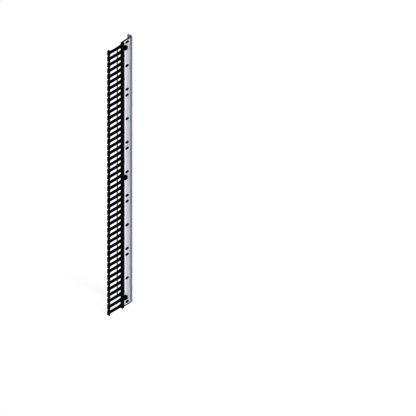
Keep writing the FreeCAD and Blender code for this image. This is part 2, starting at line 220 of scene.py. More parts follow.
def plate(
    paths: Sequence[Path],
    x_back: float,
    x_front: float,
    edge: float,
    closed: bool = True,
    edge_steps: int = 3,
    shape: Shape | None = None,
) -> Shape:
    """Makes a plate across X whose front edge is rounded, as a moulding's is.

    Args:
        paths: outline in (y, z), in one or more runs; open runs leave their cut lines unwalled.
        x_back: X of the back face.
        x_front: X of the front face.
        edge: radius of the front edge.
        closed: whether the one run closes on itself.
        edge_steps: steps of the front edge's arc.
        shape: mesh that the plate is added to, or none for a new one.

    Returns:
        The mesh.
    """
    shape = bmesh.new() if shape is None else shape
    turns = [math.pi / 2 * step / edge_steps for step in range(edge_steps + 1)]
    arc = [(x_front - edge * (1 - math.sin(turn)), edge * (1 - math.cos(turn))) for turn in turns]
    rings = []
    for x, inset in [(x_back, 0.0), *arc]:
        runs = [rounded_path(path, inset, closed) for path in paths]
        rings.append([shape.verts.new((x * MM, y * MM, z * MM)) for run in runs for y, z in run])
    for low, high in zip(rings[:-1], rings[1:]):
        start = 0
        for length in map(len, runs):
            for step in range(length if closed else length - 1):
                here = start + step
                there = start + (step + 1) % length
                shape.faces.new((low[here], low[there], high[there], high[here])).smooth = True
            start += length
    shape.faces.new(rings[-1])
    shape.faces.new(rings[0][::-1])
    return shape


def radius_at(ring: Ring, angle: float, index: int) -> float:
    """Radius of a ring in one direction.

    Args:
        ring: the ring.
        angle: direction about the axis, in radians.
        index: number of the point along the ring.

    Returns:
        The radius, which a hexagon, knurl or thread changes along the ring.
    """
    knurl_depth, thread_depth, thread_pitch = 0.35, 0.61, 1.0
    x, radius, section = ring
    if section is Section.HEXAGON:
        sixth = math.pi / 3
        return radius / math.cos(angle % sixth - sixth / 2)
    if section is Section.KNURL:
        return radius - knurl_depth * (index % 2)
    if section is Section.THREAD:
        phase = (x / thread_pitch - angle / (2 * math.pi)) % 1.0
        return radius - thread_depth * abs(2 * phase - 1)
    return radius


def turned(
    rings: Rings,
    y: float = 0.0,
    z: float = 0.0,
    points: int = 24,
    hollow: bool = False,
    stretch: float = 0.0,
    shape: Shape | None = None,
) -> Shape:
    """Makes a shape turned about an axis along X, or the same shape drawn out along Y.

    Args:
        rings: rings from the back end out and forward; a radius of 0 is a point on the axis.
        y: Y of the axis.
        z: Z of the axis.
        points: points of each ring.
        hollow: whether the last ring joins the first, as on a washer.
        stretch: length that is let into every ring along Y, for an oblong.
        shape: mesh that it is added to, or none for a new one.

    Returns:
        The mesh.
    """
    shape = bmesh.new() if shape is None else shape
    first = 0.5 if stretch else 0.0
    loops = []
    for ring in (Ring(*plain) for plain in rings):
        if ring.radius == 0:
            loops.append([shape.verts.new((ring.x * MM, y * MM, z * MM))])
            continue
        loop = []
        for index in range(points):
            angle = 2 * math.pi * (index + first) / points
            radius = radius_at(ring, angle, index)
            shift = math.copysign(stretch / 2, math.cos(angle))
            place = (ring.x, y + shift + radius * math.cos(angle), z + radius * math.sin(angle))
            loop.append(shape.verts.new(Vector(place) * MM))
        loops.append(loop)
    for low, high in [*zip(loops[:-1], loops[1:]), *([(loops[-1], loops[0])] if hollow else [])]:
        for index in range(points):
            after = (index + 1) % points
            corners = ((low, index), (low, after), (high, after), (high, index))
            found = dict.fromkeys(loop[corner % len(loop)] for loop, corner in corners)
            shape.faces.new(list(found)).smooth = True
    return shape


def bar(start: float, end: float, radius: float) -> Rings:
    """Rings of a plain closed bar."""
    return [(start, 0), (start, radius), (end, radius), (end, 0)]


def upright(shape: Shape) -> Shape:
    """Stands a shape that was turned about X on the tie rod's axis, with its X values as heights.

    Args:
        shape: the shape, whose axis is X.

    Returns:
        The same mesh.
    """
    turn = Matrix(((0, 0, -1, LAYOUT.rod_x * MM), (0, 1, 0, LAYOUT.rod_y * MM), (1, 0, 0, 0), (0, 0, 0, 1)))
    bmesh.ops.transform(shape, matrix=turn, verts=shape.verts)
    return shape


def add_box(shape: Shape, low: Point3, high: Point3) -> None:
    """Adds a plain box, which only ever cuts or fills another shape."""
    middle, size = (Vector(low) + Vector(high)) / 2 * MM, (Vector(high) - Vector(low)) * MM
    bmesh.ops.create_cube(shape, matrix=Matrix.Translation(middle) @ Matrix.Diagonal((*size, 1.0)))


# Objects and node trees


def linked(name: str, data: bpy.types.ID) -> Piece:
    """A new object of a mesh, lamp or camera, in the scene.

    Args:
        name: name of the object.
        data: its mesh, lamp or camera.

    Returns:
        The object.
    """
    made = bpy.data.objects.new(name, data)
    bpy.context.scene.collection.objects.link(made)
    return made


def to_object(name: str, shape: Shape, sharp_angle: float = 40.0) -> Piece:
    """Turns a bmesh into a linked object with outward faces.

    Args:
        name: name of the object and its mesh.
        shape: the bmesh, which is freed.
        sharp_angle: degrees from which an edge is drawn sharp.

    Returns:
        The object, at the origin.
    """
    bmesh.ops.remove_doubles(shape, verts=shape.verts, dist=MERGE_DISTANCE)
    bmesh.ops.recalc_face_normals(shape, faces=shape.faces)
    mesh = bpy.data.meshes.new(name)
    shape.to_mesh(mesh)
    shape.free()
    mesh.set_sharp_from_angle(angle=math.radians(sharp_angle))
    return linked(name, mesh)


def points_object(name: str, places: Sequence[Point3]) -> Piece:
    """An object of loose points, in millimetres, for a tree to set pieces on.

    Args:
        name: name of the object.
        places: where the points are.

    Returns:
        The object.
    """
    mesh = bpy.data.meshes.new(name)
    mesh.from_pydata([Vector(place) * MM for place in places], [], [])
    return linked(name, mesh)


def add_node(
    tree: Tree, kind: str, feeds: dict[str | int, object] | None = None, **settings: object
) -> Outputs:
    """Adds a node with its settings, input values and links.

    Args:
        tree: tree that the node goes into.
        kind: the node's type name.
        feeds: for each input, by name or number, the socket or sockets it is linked to or its own value.
        settings: the node's own settings.

    Returns:
        The node's outputs.
    """
    node = tree.nodes.new(kind)
    for name, value in settings.items():
        setattr(node, name, value)
    for key, value in (feeds or {}).items():
        sources = value if isinstance(value, list) else [value]
        if isinstance(sources[0], Socket):
            for source in sources:
                tree.links.new(source, node.inputs[key])
        else:
            node.inputs[key].default_value = value
    return node.outputs


def new_tree(name: str, inputs: dict[str, Sequence[str]]) -> tuple[Tree, Outputs, Callable[..., Outputs]]:
    """Starts a geometry tree with named inputs.

    Args:
        name: the tree's name.
        inputs: for each kind of socket, the names of the inputs of that kind.

    Returns:
        The tree, its inputs and the function that adds nodes to it.
    """
    tree = bpy.data.node_groups.new(name, "GeometryNodeTree")
    for way in ("OUTPUT", "INPUT"):
        tree.interface.new_socket("Geometry", in_out=way, socket_type="NodeSocketGeometry")
    for kind, labels in {**inputs, "Material": ["Material"]}.items():
        for label in labels:
            tree.interface.new_socket(label, in_out="INPUT", socket_type="NodeSocket" + kind)
    return tree, add_node(tree, "NodeGroupInput"), partial(add_node, tree)


def end_tree(tree: Tree, feed: Outputs, geometry: Socket) -> Tree:
    """Ends a geometry tree in Realize Instances and Set Material.

    Args:
        tree: the tree.
        feed: its inputs.
        geometry: what it has made.

    Returns:
        The tree.
    """
    real = add_node(tree, "GeometryNodeRealizeInstances", {"Geometry": geometry})[0]
    painted = add_node(tree, "GeometryNodeSetMaterial", {"Geometry": real, "Material": feed["Material"]})[0]
    add_node(tree, "NodeGroupOutput", {"Geometry": painted})
    return tree


def grow(name: str, base: Piece, tree: Tree, inputs: dict[str, object]) -> Piece:
    """Runs a geometry tree on an object and keeps the result as a plain mesh.

    Args:
        name: name of the new object.
        base: object that the tree starts from, which is removed.
        tree: the geometry tree.
        inputs: a value for each named input; the objects among them are removed too.

    Returns:
        The new object, at the origin and with no modifier.
    """
    modifier = base.modifiers.new(tree.name, "NODES")
    modifier.node_group = tree
    for item in tree.interface.items_tree:
        if item.in_out == "INPUT" and item.name in inputs:
            modifier[item.identifier] = inputs[item.name]
    graph = bpy.context.evaluated_depsgraph_get()
    mesh = bpy.data.meshes.new_from_object(base.evaluated_get(graph), depsgraph=graph)
    mesh.name = name
    for helper in [base, *(value for value in inputs.values() if isinstance(value, Piece))]:
        bpy.data.objects.remove(helper)
    return linked(name, mesh)


def pieces_tree() -> Tree:
    """Tree that sets one piece on every point of its geometry.

    Returns:
        The tree, whose points are the geometry that it starts from.
    """
    tree, feed, add = new_tree("pieces on points", {"Object": ["Piece"]})
    piece = add("GeometryNodeObjectInfo", {"Object": feed["Piece"]})["Geometry"]
    placed = add("GeometryNodeInstanceOnPoints", {"Points": feed["Geometry"], "Instance": piece})[0]
    return end_tree(tree, feed, placed)


def cut(target: Piece, cutter: Shape) -> Piece:
    """Cuts a shape out of an object's mesh.

    Args:
        target: the object.
        cutter: the shape.

    Returns:
        The object.
    """
    tool = to_object("cutter", cutter)
    modifier = target.modifiers.new("cut", "BOOLEAN")
    modifier.object = tool
    modifier.solver = "EXACT"
    graph = bpy.context.evaluated_depsgraph_get()
    target.data = bpy.data.meshes.new_from_object(target.evaluated_get(graph), depsgraph=graph)
    target.modifiers.clear()
    bpy.data.objects.remove(tool)
    return target


def copy_moved(name: str, source: Piece, z: float) -> Piece:
    """A copy of an object whose mesh is moved up or down, in millimetres.

    Args:
        name: name of the copy.
        source: the object.
        z: how far its mesh moves up.

    Returns:
        The copy.
    """
    mesh = source.data.copy()
    mesh.name = name
    mesh.transform(Matrix.Translation((0, 0, z * MM)))
    return linked(name, mesh)


# Finishes


def srgb(code: str) -> tuple[float, float, float, float]:
    """Linear colour of an sRGB hex code.

    Args:
        code: the code, such as #C5CCD5.

    Returns:
        Red, green, blue and an alpha of 1.
    """
    straight_below = 0.04045
    linear = []
    for start in (1, 3, 5):
        share = int(code[start : start + 2], 16) / 255
        linear.append(share / 12.92 if share <= straight_below else ((share + 0.055) / 1.055) ** 2.4)
    return (*linear, 1.0)


def new_material(name: str) -> tuple[Material, Callable[..., Outputs]]:
    """A material with an empty tree, and the function that adds nodes to it.

    Args:
        name: name of the material.

    Returns:
        The material and the function.
    """
    material = bpy.data.materials.new(name)
    material.use_nodes = True
    material.node_tree.nodes.clear()
    return material, partial(add_node, material.node_tree)


@dataclass(frozen=True)
class Finish:
    """What the finishes share: two near colours that mix in soft patches, and a fine surface grain."""

    name: str
    colour: str
    patch_colour: str
    roughness: tuple[float, float]
    patch_mm: float
    grain_mm: float
    grain_depth_mm: float
    patch_noise: Point2 = (3.0, 0.55)
    grain_noise: Point2 = (2.0, 0.6)
    grain_range: Point2 = (0.3, 0.7)
    metallic: float = 0.0
    specular: float = 0.5
    stretch: Point3 = (1.0, 1.0, 1.0)

    def over(self, add: Callable[..., Outputs], place: Socket, colour: Socket) -> Socket:
        """The colour as it is, where a finish has nothing to lay over it."""
        return colour

    def build(self) -> Material:
        """Builds the material.

        Returns:
            A material whose colour, roughness and bump come from patterns on object coordinates.
        """
        material, add = new_material(self.name)
        place = add("ShaderNodeTexCoord")["Object"]
        mapped = add("ShaderNodeMapping", {"Vector": place, "Scale": self.stretch})[0]
        sizes = ((self.patch_mm, *self.patch_noise), (self.grain_mm, *self.grain_noise))
        patches, grain = (
            add(
                "ShaderNodeTexNoise",
                {"Vector": mapped, "Scale": 1 / (size * MM), "Detail": detail, "Roughness": rough},
            )["Fac"]
            for size, detail, rough in sizes
        )
        colours = {"Factor": patches, "A": srgb(self.colour), "B": srgb(self.patch_colour)}
        colour = self.over(add, place, add("ShaderNodeMix", colours, data_type="RGBA")["Result"])
        limits = zip(("From Min", "From Max", "To Min", "To Max"), (*self.grain_range, *self.roughness))
        spread = {"Value": grain, **dict(limits)}
        bump = {"Height": grain, "Distance": self.grain_depth_mm * MM, "Strength": 1.0}
        feeds = {
            "Base Color": colour,
            "Roughness": add("ShaderNodeMapRange", spread)["Result"],
            "Normal": add("ShaderNodeBump", bump)["Normal"],
            "Metallic": self.metallic,
            "Specular IOR Level": self.specular,
        }
        add("ShaderNodeOutputMaterial", {"Surface": add("ShaderNodeBsdfPrincipled", feeds)[0]})
        return material


@dataclass(frozen=True)
class CoatWithPaintedHighlight(Finish):
    """A coat with a painted highlight: a paler upright stripe on the panel's front beside the combs."""

    # Colour, span across Y and soft edge of the painted highlight stripe beside the combs
    painted_highlight_colour: str = "#CBCBCB"
    painted_highlight_y_mm: Point2 = (7.2, 16.2)
    fade_mm: float = 3.0
    front_mm: float = -16.3

    def over(self, add: Callable[..., Outputs], place: Socket, colour: Socket) -> Socket:
        """Lays the painted highlight stripe over the coat's own colour.

        Args:
            add: function that adds a node to the material.
            place: object coordinates.
            colour: the coat's colour.

        Returns:
            The colour with the stripe, which fades out at both sides.
        """
        near, far = self.painted_highlight_y_mm
        half, fade = (far - near) / 2, self.fade_mm / 2
        fading = {"From Min": (half - fade) * MM, "From Max": (half + fade) * MM}
        axes = add("ShaderNodeSeparateXYZ", {"Vector": place})
        off = add("ShaderNodeMath", {0: axes["Y"], 1: (near + far) / 2 * MM}, operation="SUBTRACT")[0]
        away = add("ShaderNodeMath", {0: off}, operation="ABSOLUTE")[0]
        ramp = {"Value": away, **fading, "To Min": 1.0, "To Max": 0.0}
        share = add("ShaderNodeMapRange", ramp, interpolation_type="SMOOTHSTEP")["Result"]
        in_front = add("ShaderNodeMath", {0: axes["X"], 1: self.front_mm * MM}, operation="GREATER_THAN")[0]
        factor = add("ShaderNodeMath", {0: share, 1: in_front}, operation="MULTIPLY")[0]
        feeds = {"Factor": factor, "A": colour, "B": srgb(self.painted_highlight_colour)}
        return add("ShaderNodeMix", feeds, data_type="RGBA")["Result"]


# Polyester powder coat, sprayed and baked on steel: an even satin grey with a trace of blue and faint
# orange peel, with a painted highlight as a paler stripe along the combs.
POWDER_COAT = CoatWithPaintedHighlight(
    name="powder_coated_steel",
    colour="#BCBDBF",
    patch_colour="#B8B9BC",
    roughness=(0.42, 0.52),
    patch_mm=90.0,
    grain_mm=2.2,
    grain_depth_mm=0.03,
)

# Glass-filled nylon, injection moulded: deep black, a dull even grain from the etched mould.
COMB_NYLON = Finish(
    name="moulded_black_nylon",
    colour="#0A0A0B",
    patch_colour="#0D0D0E",
    roughness=(0.55, 0.7),
    patch_mm=60.0,
    grain_mm=0.8,
    grain_depth_mm=0.02,
    specular=0.3,
)

# Black ABS, injection moulded: a little smoother than the combs.
BLOCK_ABS = Finish(
    name="moulded_black_abs",
    colour="#0C0C0D",
    patch_colour="#101011",
    roughness=(0.45, 0.6),
    patch_mm=25.0,
    grain_mm=0.6,
    grain_depth_mm=0.015,
    specular=0.3,
)

# Black EPDM rubber, extruded: dull and even, with fine lines along its length.
EDGE_RUBBER = Finish(
    name="extruded_black_rubber",
    colour="#0B0B0C",
    patch_colour="#0F0F10",
    roughness=(0.7, 0.85),
    patch_mm=15.0,
    grain_mm=0.4,
    grain_depth_mm=0.01,
    specular=0.25,
    stretch=(1.0, 0.05, 1.0),
)

# Cold-drawn steel, browned: dark, with fine lines drawn along its length.
DRAWN_STEEL = Finish(
    name="browned_drawn_steel",
    colour="#34343A",
    patch_colour="#2A2A2F",
    roughness=(0.38, 0.55),
    patch_mm=12.0,
    grain_mm=0.5,
    grain_depth_mm=0.01,
    metallic=1.0,
    stretch=(1.0, 1.0, 0.04),
)

# Black zinc plating on machined steel: almost black, with a dull metallic glint.
BLACK_ZINC = Finish(
    name="black_zinc_plate",
    colour="#34343A",
    patch_colour="#3E3E42",
    roughness=(0.34, 0.48),
    patch_mm=4.0,
    grain_mm=0.4,
    grain_depth_mm=0.008,
    metallic=1.0,
)

# Bright zinc plating on machined steel: pale blue-grey with faint yellow patches.
BRIGHT_ZINC = Finish(
    name="bright_zinc_plate",
    colour="#C3C8CF",
    patch_colour="#CCC8B8",
    roughness=(0.24, 0.38),
    patch_mm=5.0,
    grain_mm=0.4,
    grain_depth_mm=0.006,
    metallic=1.0,
)

# Natural polyamide, moulded: milky cream and waxy.
NATURAL_NYLON = Finish(
    name="natural_nylon",
    colour="#E4DFD0",
    patch_colour="#DAD4C2",
    roughness=(0.38, 0.5),
    patch_mm=6.0,
    grain_mm=0.6,
    grain_depth_mm=0.01,
)


@dataclass(frozen=True)
class LitAcrylic:
    """Frosted white acrylic lit from below, as a light table has: pale and almost free of shadow."""

    name: str = "lit_frosted_acrylic"
    colour: str = "#8C8C8C"
    glow_colour: str = "#FFFFFF"
    glow: float = 0.84

    def build(self) -> Material:
        """Builds the floor's material.

        Returns:
            A material that glows evenly and has no gloss.
        """
        material, add = new_material(self.name)
        feeds = {
            "Base Color": srgb(self.colour),
            "Roughness": 1.0,
            "Specular IOR Level": 0.0,
            "Emission Color": srgb(self.glow_colour),
            "Emission Strength": self.glow,
        }
        add("ShaderNodeOutputMaterial", {"Surface": add("ShaderNodeBsdfPrincipled", feeds)[0]})
        return material


# Sub-assemblies


@dataclass
class SubAssembly:
    """What the sub-assemblies share: their finishes, and how a piece is dressed and handed over."""

    finishes: dict[Slot, Material]

    def dress(self, name: str, made: Shape | Piece, slot: Slot, node: str, body: str = "manager") -> None:
        """Gives a piece its finish and hands it over with its body, its slot and the node it stands for.

        Args:
            name: name of the piece.
            made: its bmesh, or the object if it is one already.
            slot: material slot, which also names its finish.
            node: node that it stands for.
            body: body that it rides on.
        """
        piece = made if isinstance(made, Piece) else to_object(name, made)
        piece.data.materials.clear()
        piece.data.materials.append(self.finishes[slot])
        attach(piece, body)
        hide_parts(node)
        LOG.info("%s rides on %s: %d faces, for %s", name, body, len(piece.data.polygons), node)

    def repeat(
        self, name: str, unit: Shape, places: Sequence[Point3], slot: Slot, node: str, body: str = "manager"
    ) -> None:
        """Repeats one small piece at several places as one mesh, and hands it over.

        Args:
            name: name of the piece.
            unit: the small piece, made about the origin.
            places: where it goes, in millimetres.
            slot: material slot, which also names its finish.
            node: node that it stands for.
            body: body that it rides on.
        """
        tree = bpy.data.node_groups.get("pieces on points") or pieces_tree()
        inputs = {"Piece": to_object("unit", unit), "Material": self.finishes[slot]}
        self.dress(name, grow(name, points_object("places", places), tree, inputs), slot, node, body)


@dataclass
class FingerCombs(SubAssembly):
    """The five moulded combs, with their screws and the clinch nuts behind the panel."""

    face_x: float = -3.0
    edge: float = 1.0
    spine_front_y: float = -31.3
    spine_corner: float = 3.0
    joint_gap: float = 0.6
    finger_height: float = 10.7
    finger_reach: float = 105.3
    flare_length: float = 29.5
    flare_rise: float = 4.5
    flare_blend: float = 40.0
    root_fillet: float = 2.0
    head_width: float = 11.5
    head_height: float = 39.75
    head_corner: float = 8.5
    head_fillet: float = 5.0
    head_nose: float = 1.2
    wall: float = 3.0
    skin: float = 3.0
    pocket_corner: float = 3.5
    pocket_edge: float = 0.8
    core_corner: float = 1.0
    # Height over a finger's middle where one cell meets the next
    cut_rise: float = 14.0
    boss_radius: float = 7.0
    boss_raise: float = 1.0
    boss_lip: float = 0.6
    # Part of a rounding's radius that its middle stands in from both sides
    half_round_share: float = 0.3
    notch_drop: float = 5.7
    notch_height: float = 7.0
    notch_depth: float = 2.6
    notch_corner: float = 0.8
    rod_hole: float = 2.8
    # Lowest finger of the lowest comb that the rod goes through
    last_rod_step: int = 6
    screw_radius: float = 2.5
    screw_head_radius: float = 4.5
    screw_head_height: float = 3.4
    screw_sink: float = 4.0
    screw_clearance: float = 0.3
    tip_chamfer: float = 0.5
    seat_chamfer: float = 0.2
    head_round: tuple[Point2, ...] = ((0.5, 0.0), (0.15, 0.15), (0.0, 0.5))
    socket_flat: float = 2.0
    socket_depth: float = 2.0
    socket_chamfer: float = 0.25
    socket_point: float = 0.4
    nut_radius: float = 4.75
    nut_height: float = 4.0
    nut_shank: float = 3.6
    nut_lead: float = 0.4
    nut_chamfer: float = 0.5

    def finger_path(self, z: float = 0.0) -> Path:
        """Corners of the finger at one height, out along its top, round its head and back below.

        Args:
            z: height of the finger's middle.

        Returns:
            The corners.
        """
        top, head_top = self.finger_height / 2, self.head_height / 2
        inner = self.spine_front_y - self.finger_reach
        outer = inner - self.head_width
        head = [
            (inner, top, self.head_fillet, 5),
            (inner, head_top, self.head_nose, 3),
            (outer, head_top, self.head_corner, 7),
        ]
        path = [
            (self.spine_front_y, top + self.flare_rise, self.root_fillet, 4),
            (self.spine_front_y - self.flare_length, top, self.flare_blend, 5),
            *mirrored(head),
            (self.spine_front_y, -top, self.root_fillet, 4),
        ]
        return [(a, b + z, radius, steps) for a, b, radius, steps in path]

    def cell(self) -> Shape:
        """One finger with its length of spine, open where it meets the next one.

        Returns:
            An open shell, one rack unit high.
        """
        high, low = self.cut_rise, self.cut_rise - LAYOUT.rack_unit
        fingers = [(self.spine_front_y, high), *self.finger_path(), (self.spine_front_y, low)]
        rear = [(LAYOUT.spine_rear_y, low), (LAYOUT.spine_rear_y, high)]
        return plate([fingers, rear], LAYOUT.panel_face_x, self.face_x, self.edge, closed=False)

    def ends(self) -> Shape:
        """The closed top of the spine, and the last finger with the closed bottom.

        Returns:
            Both open shells, which close the row of cells.
        """
        high, top_end = self.cut_rise, (LAYOUT.rack_unit - self.joint_gap) / 2
        last = -(LAYOUT.fingers_per_comb - 1) * LAYOUT.rack_unit
        front, rear, arc = self.spine_front_y, LAYOUT.spine_rear_y, (self.spine_corner, 5)
        top = [(rear, high), (rear, top_end, *arc), (front, top_end, *arc), (front, high)]
        foot = [(front, last - top_end, *arc), (rear, last - top_end, *arc), (rear, last + high)]
        bottom = [(front, last + high), *self.finger_path(last), *foot]
        shape = plate([top], LAYOUT.panel_face_x, self.face_x, self.edge, closed=False)
        return plate([bottom], LAYOUT.panel_face_x, self.face_x, self.edge, closed=False, shape=shape)

    def hollow(self, path: Path) -> Shape:
        """Core of an outline, from behind the comb to the skin behind its face."""
        back = LAYOUT.panel_face_x - OVERSHOOT
        return plate([path], back, self.face_x - self.skin, self.pocket_edge, edge_steps=2)

    def finger_pocket(self) -> Shape:
        """T-shaped hollow that cores one finger and its head from the back.

        Returns:
            The core's mesh.
        """
        half_slot, half_head = self.finger_height / 2 - self.wall, self.head_height / 2 - self.wall
        root = self.spine_front_y - self.wall
        neck = root - self.finger_reach
        tip = neck - self.head_width + 2 * self.wall
        arc = (self.core_corner, 3)
        waist = [(root, half_slot, *arc), (neck, half_slot, *arc), (neck, half_head, *arc)]
        return self.hollow(mirrored([*waist, (tip, half_head, self.pocket_corner, 5)]))

    def spine_pocket(self) -> Shape:
        """Hollow in the back of the spine, below one finger and above the next.

        Returns:
            The core's mesh.
        """
        high = -self.finger_height / 2
        low = -high - LAYOUT.rack_unit
        rear, front = LAYOUT.spine_rear_y - self.wall, self.spine_front_y + self.wall
        corners = ((rear, low), (rear, high), (front, high), (front, low))
        return self.hollow([(*corner, self.core_corner, 3) for corner in corners])

    def post(self) -> Shape:
        """A screw boss above an attachment finger and the solid behind the notch below it.

        Returns:
            The mesh, for a finger at height 0.
        """
        back, face = LAYOUT.panel_face_x + SMALLEST_RADIUS, self.face_x + self.boss_raise
        radius, lip = self.boss_radius, self.boss_lip
        half_round = lip * self.half_round_share
        side = [(back, 0), (back, radius), (face - lip, radius), (face - half_round, radius - half_round)]
        shape = turned([*side, (face, radius - lip), (face, 0)], LAYOUT.boss_y, LAYOUT.boss_rise, points=48)
        half = self.notch_height / 2 + self.wall
        low = (back, LAYOUT.spine_rear_y - self.notch_depth - self.wall, -self.notch_drop - half)
        high = (self.face_x - self.skin / 2, LAYOUT.spine_rear_y - self.wall / 2, -self.notch_drop + half)
        add_box(shape, low, high)
        return shape

    def post_holes(self) -> Shape:
        """The stepped screw hole of a boss, and the notch below it in the rear edge.

        Returns:
            The mesh of what is cut away, for a finger at height 0.
        """
        back, front = LAYOUT.panel_face_x - OVERSHOOT, self.face_x + self.boss_raise + OVERSHOOT
        sink_x = self.face_x + self.boss_raise - self.screw_sink
        shank, head = self.screw_radius + self.screw_clearance, self.screw_head_radius + self.screw_clearance
        rings = [(back, 0), (back, shank), (sink_x, shank), (sink_x, head), (front, head), (front, 0)]
        shape = turned(rings, LAYOUT.boss_y, LAYOUT.boss_rise, points=48)
        low, high = (-self.notch_drop + way * self.notch_height / 2 for way in (-1, 1))
        floor, outside = LAYOUT.spine_rear_y - self.notch_depth, LAYOUT.spine_rear_y + 2 * OVERSHOOT
        arc = (self.notch_corner, 3)
        path = [(floor, low, *arc), (outside, low), (outside, high), (floor, high, *arc)]
        return plate([path], back, front, SMALLEST_RADIUS, edge_steps=1, shape=shape)

    def rod_drill(self, last_step: int) -> Shape:
        """Bar that drills the tie rod's hole down to one finger."""
        bottom = -last_step * LAYOUT.rack_unit - self.finger_height / 2 - OVERSHOOT
        return upright(turned(bar(bottom, LAYOUT.rack_unit / 2, self.rod_hole)))

    def tree(self) -> Tree:
        """Tree that repeats the finger cell, closes the comb, cores it and adds its attachments.

        Returns:
            The tree, which starts from the finger cell's mesh.
        """
        parts = ("Ends", "Finger Pocket", "Spine Pocket", "Post", "Post Holes", "Rod Drill")
        inputs = {"Object": parts, "Int": ("Open Cells", "Upper Post", "Lower Post"), "Float": ("Pitch",)}
        tree, feed, add = new_tree("finger comb", inputs)
        solid = {part: add("GeometryNodeObjectInfo", {"Object": feed[part]})["Geometry"] for part in parts}
        down = add("ShaderNodeMath", {0: feed["Pitch"], 1: -1.0}, operation="MULTIPLY")[0]
        step = add("ShaderNodeCombineXYZ", {"Z": down})[0]
        fingers = add("ShaderNodeMath", {0: feed["Open Cells"], 1: 1.0}, operation="ADD")[0]
        cells = add("GeometryNodeMeshLine", {"Count": feed["Open Cells"], "Offset": step})[0]
        places = add("GeometryNodeMeshLine", {"Count": fingers, "Offset": step})[0]
        index = add("GeometryNodeInputIndex")[0]
        upper, lower = (
            add("FunctionNodeCompare", {2: index, 3: feed[label]}, data_type="INT", operation="EQUAL")[0]
            for label in ("Upper Post", "Lower Post")
        )
        chosen = add("FunctionNodeBooleanMath", {0: upper, 1: lower}, operation="OR")[0]
        repeats = {
            "Cell": (cells, feed["Geometry"], True),
            "Finger Pocket": (places, solid["Finger Pocket"], True),
            "Spine Pocket": (cells, solid["Spine Pocket"], True),
            "Post": (places, solid["Post"], chosen),
            "Post Holes": (places, solid["Post Holes"], chosen),
        }
        for part, (points, piece, picked) in repeats.items():
            feeds = {"Points": points, "Instance": piece, "Selection": picked}
            placed = add("GeometryNodeInstanceOnPoints", feeds)[0]
            solid[part] = add("GeometryNodeRealizeInstances", {0: placed})[0]
        joined = add("GeometryNodeJoinGeometry", {"Geometry": [solid["Cell"], solid["Ends"]]})[0]
        made = add("GeometryNodeMergeByDistance", {"Geometry": joined, "Distance": MERGE_DISTANCE})[0]
        pockets = [solid["Finger Pocket"], solid["Spine Pocket"]]
        holes = [solid["Post Holes"], solid["Rod Drill"]]
        for operation, others in (("DIFFERENCE", pockets), ("UNION", [solid["Post"]]), ("DIFFERENCE", holes)):
            apart = operation == "DIFFERENCE"
            feeds = {"Mesh 1": made, "Mesh 2": others} if apart else {"Mesh 2": [made, *others]}
            made = add("GeometryNodeMeshBoolean", feeds, operation=operation, solver="EXACT")["Mesh"]
        return end_tree(tree, feed, made)

    def moulding(self, name: str, tree: Tree, last_rod_step: int) -> Piece:
        """Grows one comb with its first finger at height 0.

        Args:
            name: name of the new object.
            tree: the comb's tree.
            last_rod_step: lowest finger that the tie rod's hole goes through.

        Returns:
            The comb.
        """
        parts = {
            "Ends": self.ends(),
            "Finger Pocket": self.finger_pocket(),
            "Spine Pocket": self.spine_pocket(),
            "Post": self.post(),
            "Post Holes": self.post_holes(),
            "Rod Drill": self.rod_drill(last_rod_step),
        }
        inputs = {
            **{label: to_object(label, shape) for label, shape in parts.items()},
            "Open Cells": LAYOUT.fingers_per_comb - 1,
            "Pitch": LAYOUT.rack_unit * MM,
            "Upper Post": LAYOUT.boss_fingers[0],
            "Lower Post": LAYOUT.boss_fingers[1],
            "Material": self.finishes[Slot.COMB],
        }
        return grow(name, to_object("finger_cell", self.cell()), tree, inputs)

    def screw(self) -> Shape:
        """An M5 cheese-head screw with a hexagon socket, at the boss's middle line.

        Returns:
            The screw's mesh, with its axis along X.
        """
        seat = self.face_x + self.boss_raise - self.screw_sink
        head, end = seat + self.screw_head_height, LAYOUT.panel_back_x - self.nut_height
        floor, radius, flat = head - self.socket_depth, self.screw_head_radius, self.socket_flat
        core, tip, soft, lead = self.screw_radius, self.tip_chamfer, self.seat_chamfer, self.socket_chamfer
        shank = [(end, 0), (end, core - tip), (end + tip, core), (seat, core)]
        side = [(seat, radius - soft), (seat + soft, radius)]
        crown = [(head - drop, radius - inset) for drop, inset in self.head_round]
        flats = ((head, flat + lead), (head - lead, flat), (floor, flat))
        socket = [(*ring, Section.HEXAGON) for ring in flats]
        return turned([*shank, *side, *crown, *socket, (floor - self.socket_point, 0)], points=36)

    def nut(self) -> Shape:
        """A round clinch nut, its shank in the sheet and its body behind it.

        Returns:
            The nut's mesh, with its axis along X.
        """
        bore, radius, shank = self.screw_radius + self.screw_clearance, self.nut_radius, self.nut_shank
        seat, face = LAYOUT.panel_back_x, LAYOUT.panel_face_x
        back = seat - self.nut_height
        lead, edge, soft = self.nut_lead, self.nut_chamfer, self.seat_chamfer
        body = [(back + lead, bore), (back, bore + lead), (back, radius - edge), (back + edge, radius)]
        neck = [(seat - soft, radius), (seat, radius - soft), (seat, shank), (face, shank), (face, bore)]
        return turned([*body, *neck], points=36, hollow=True)

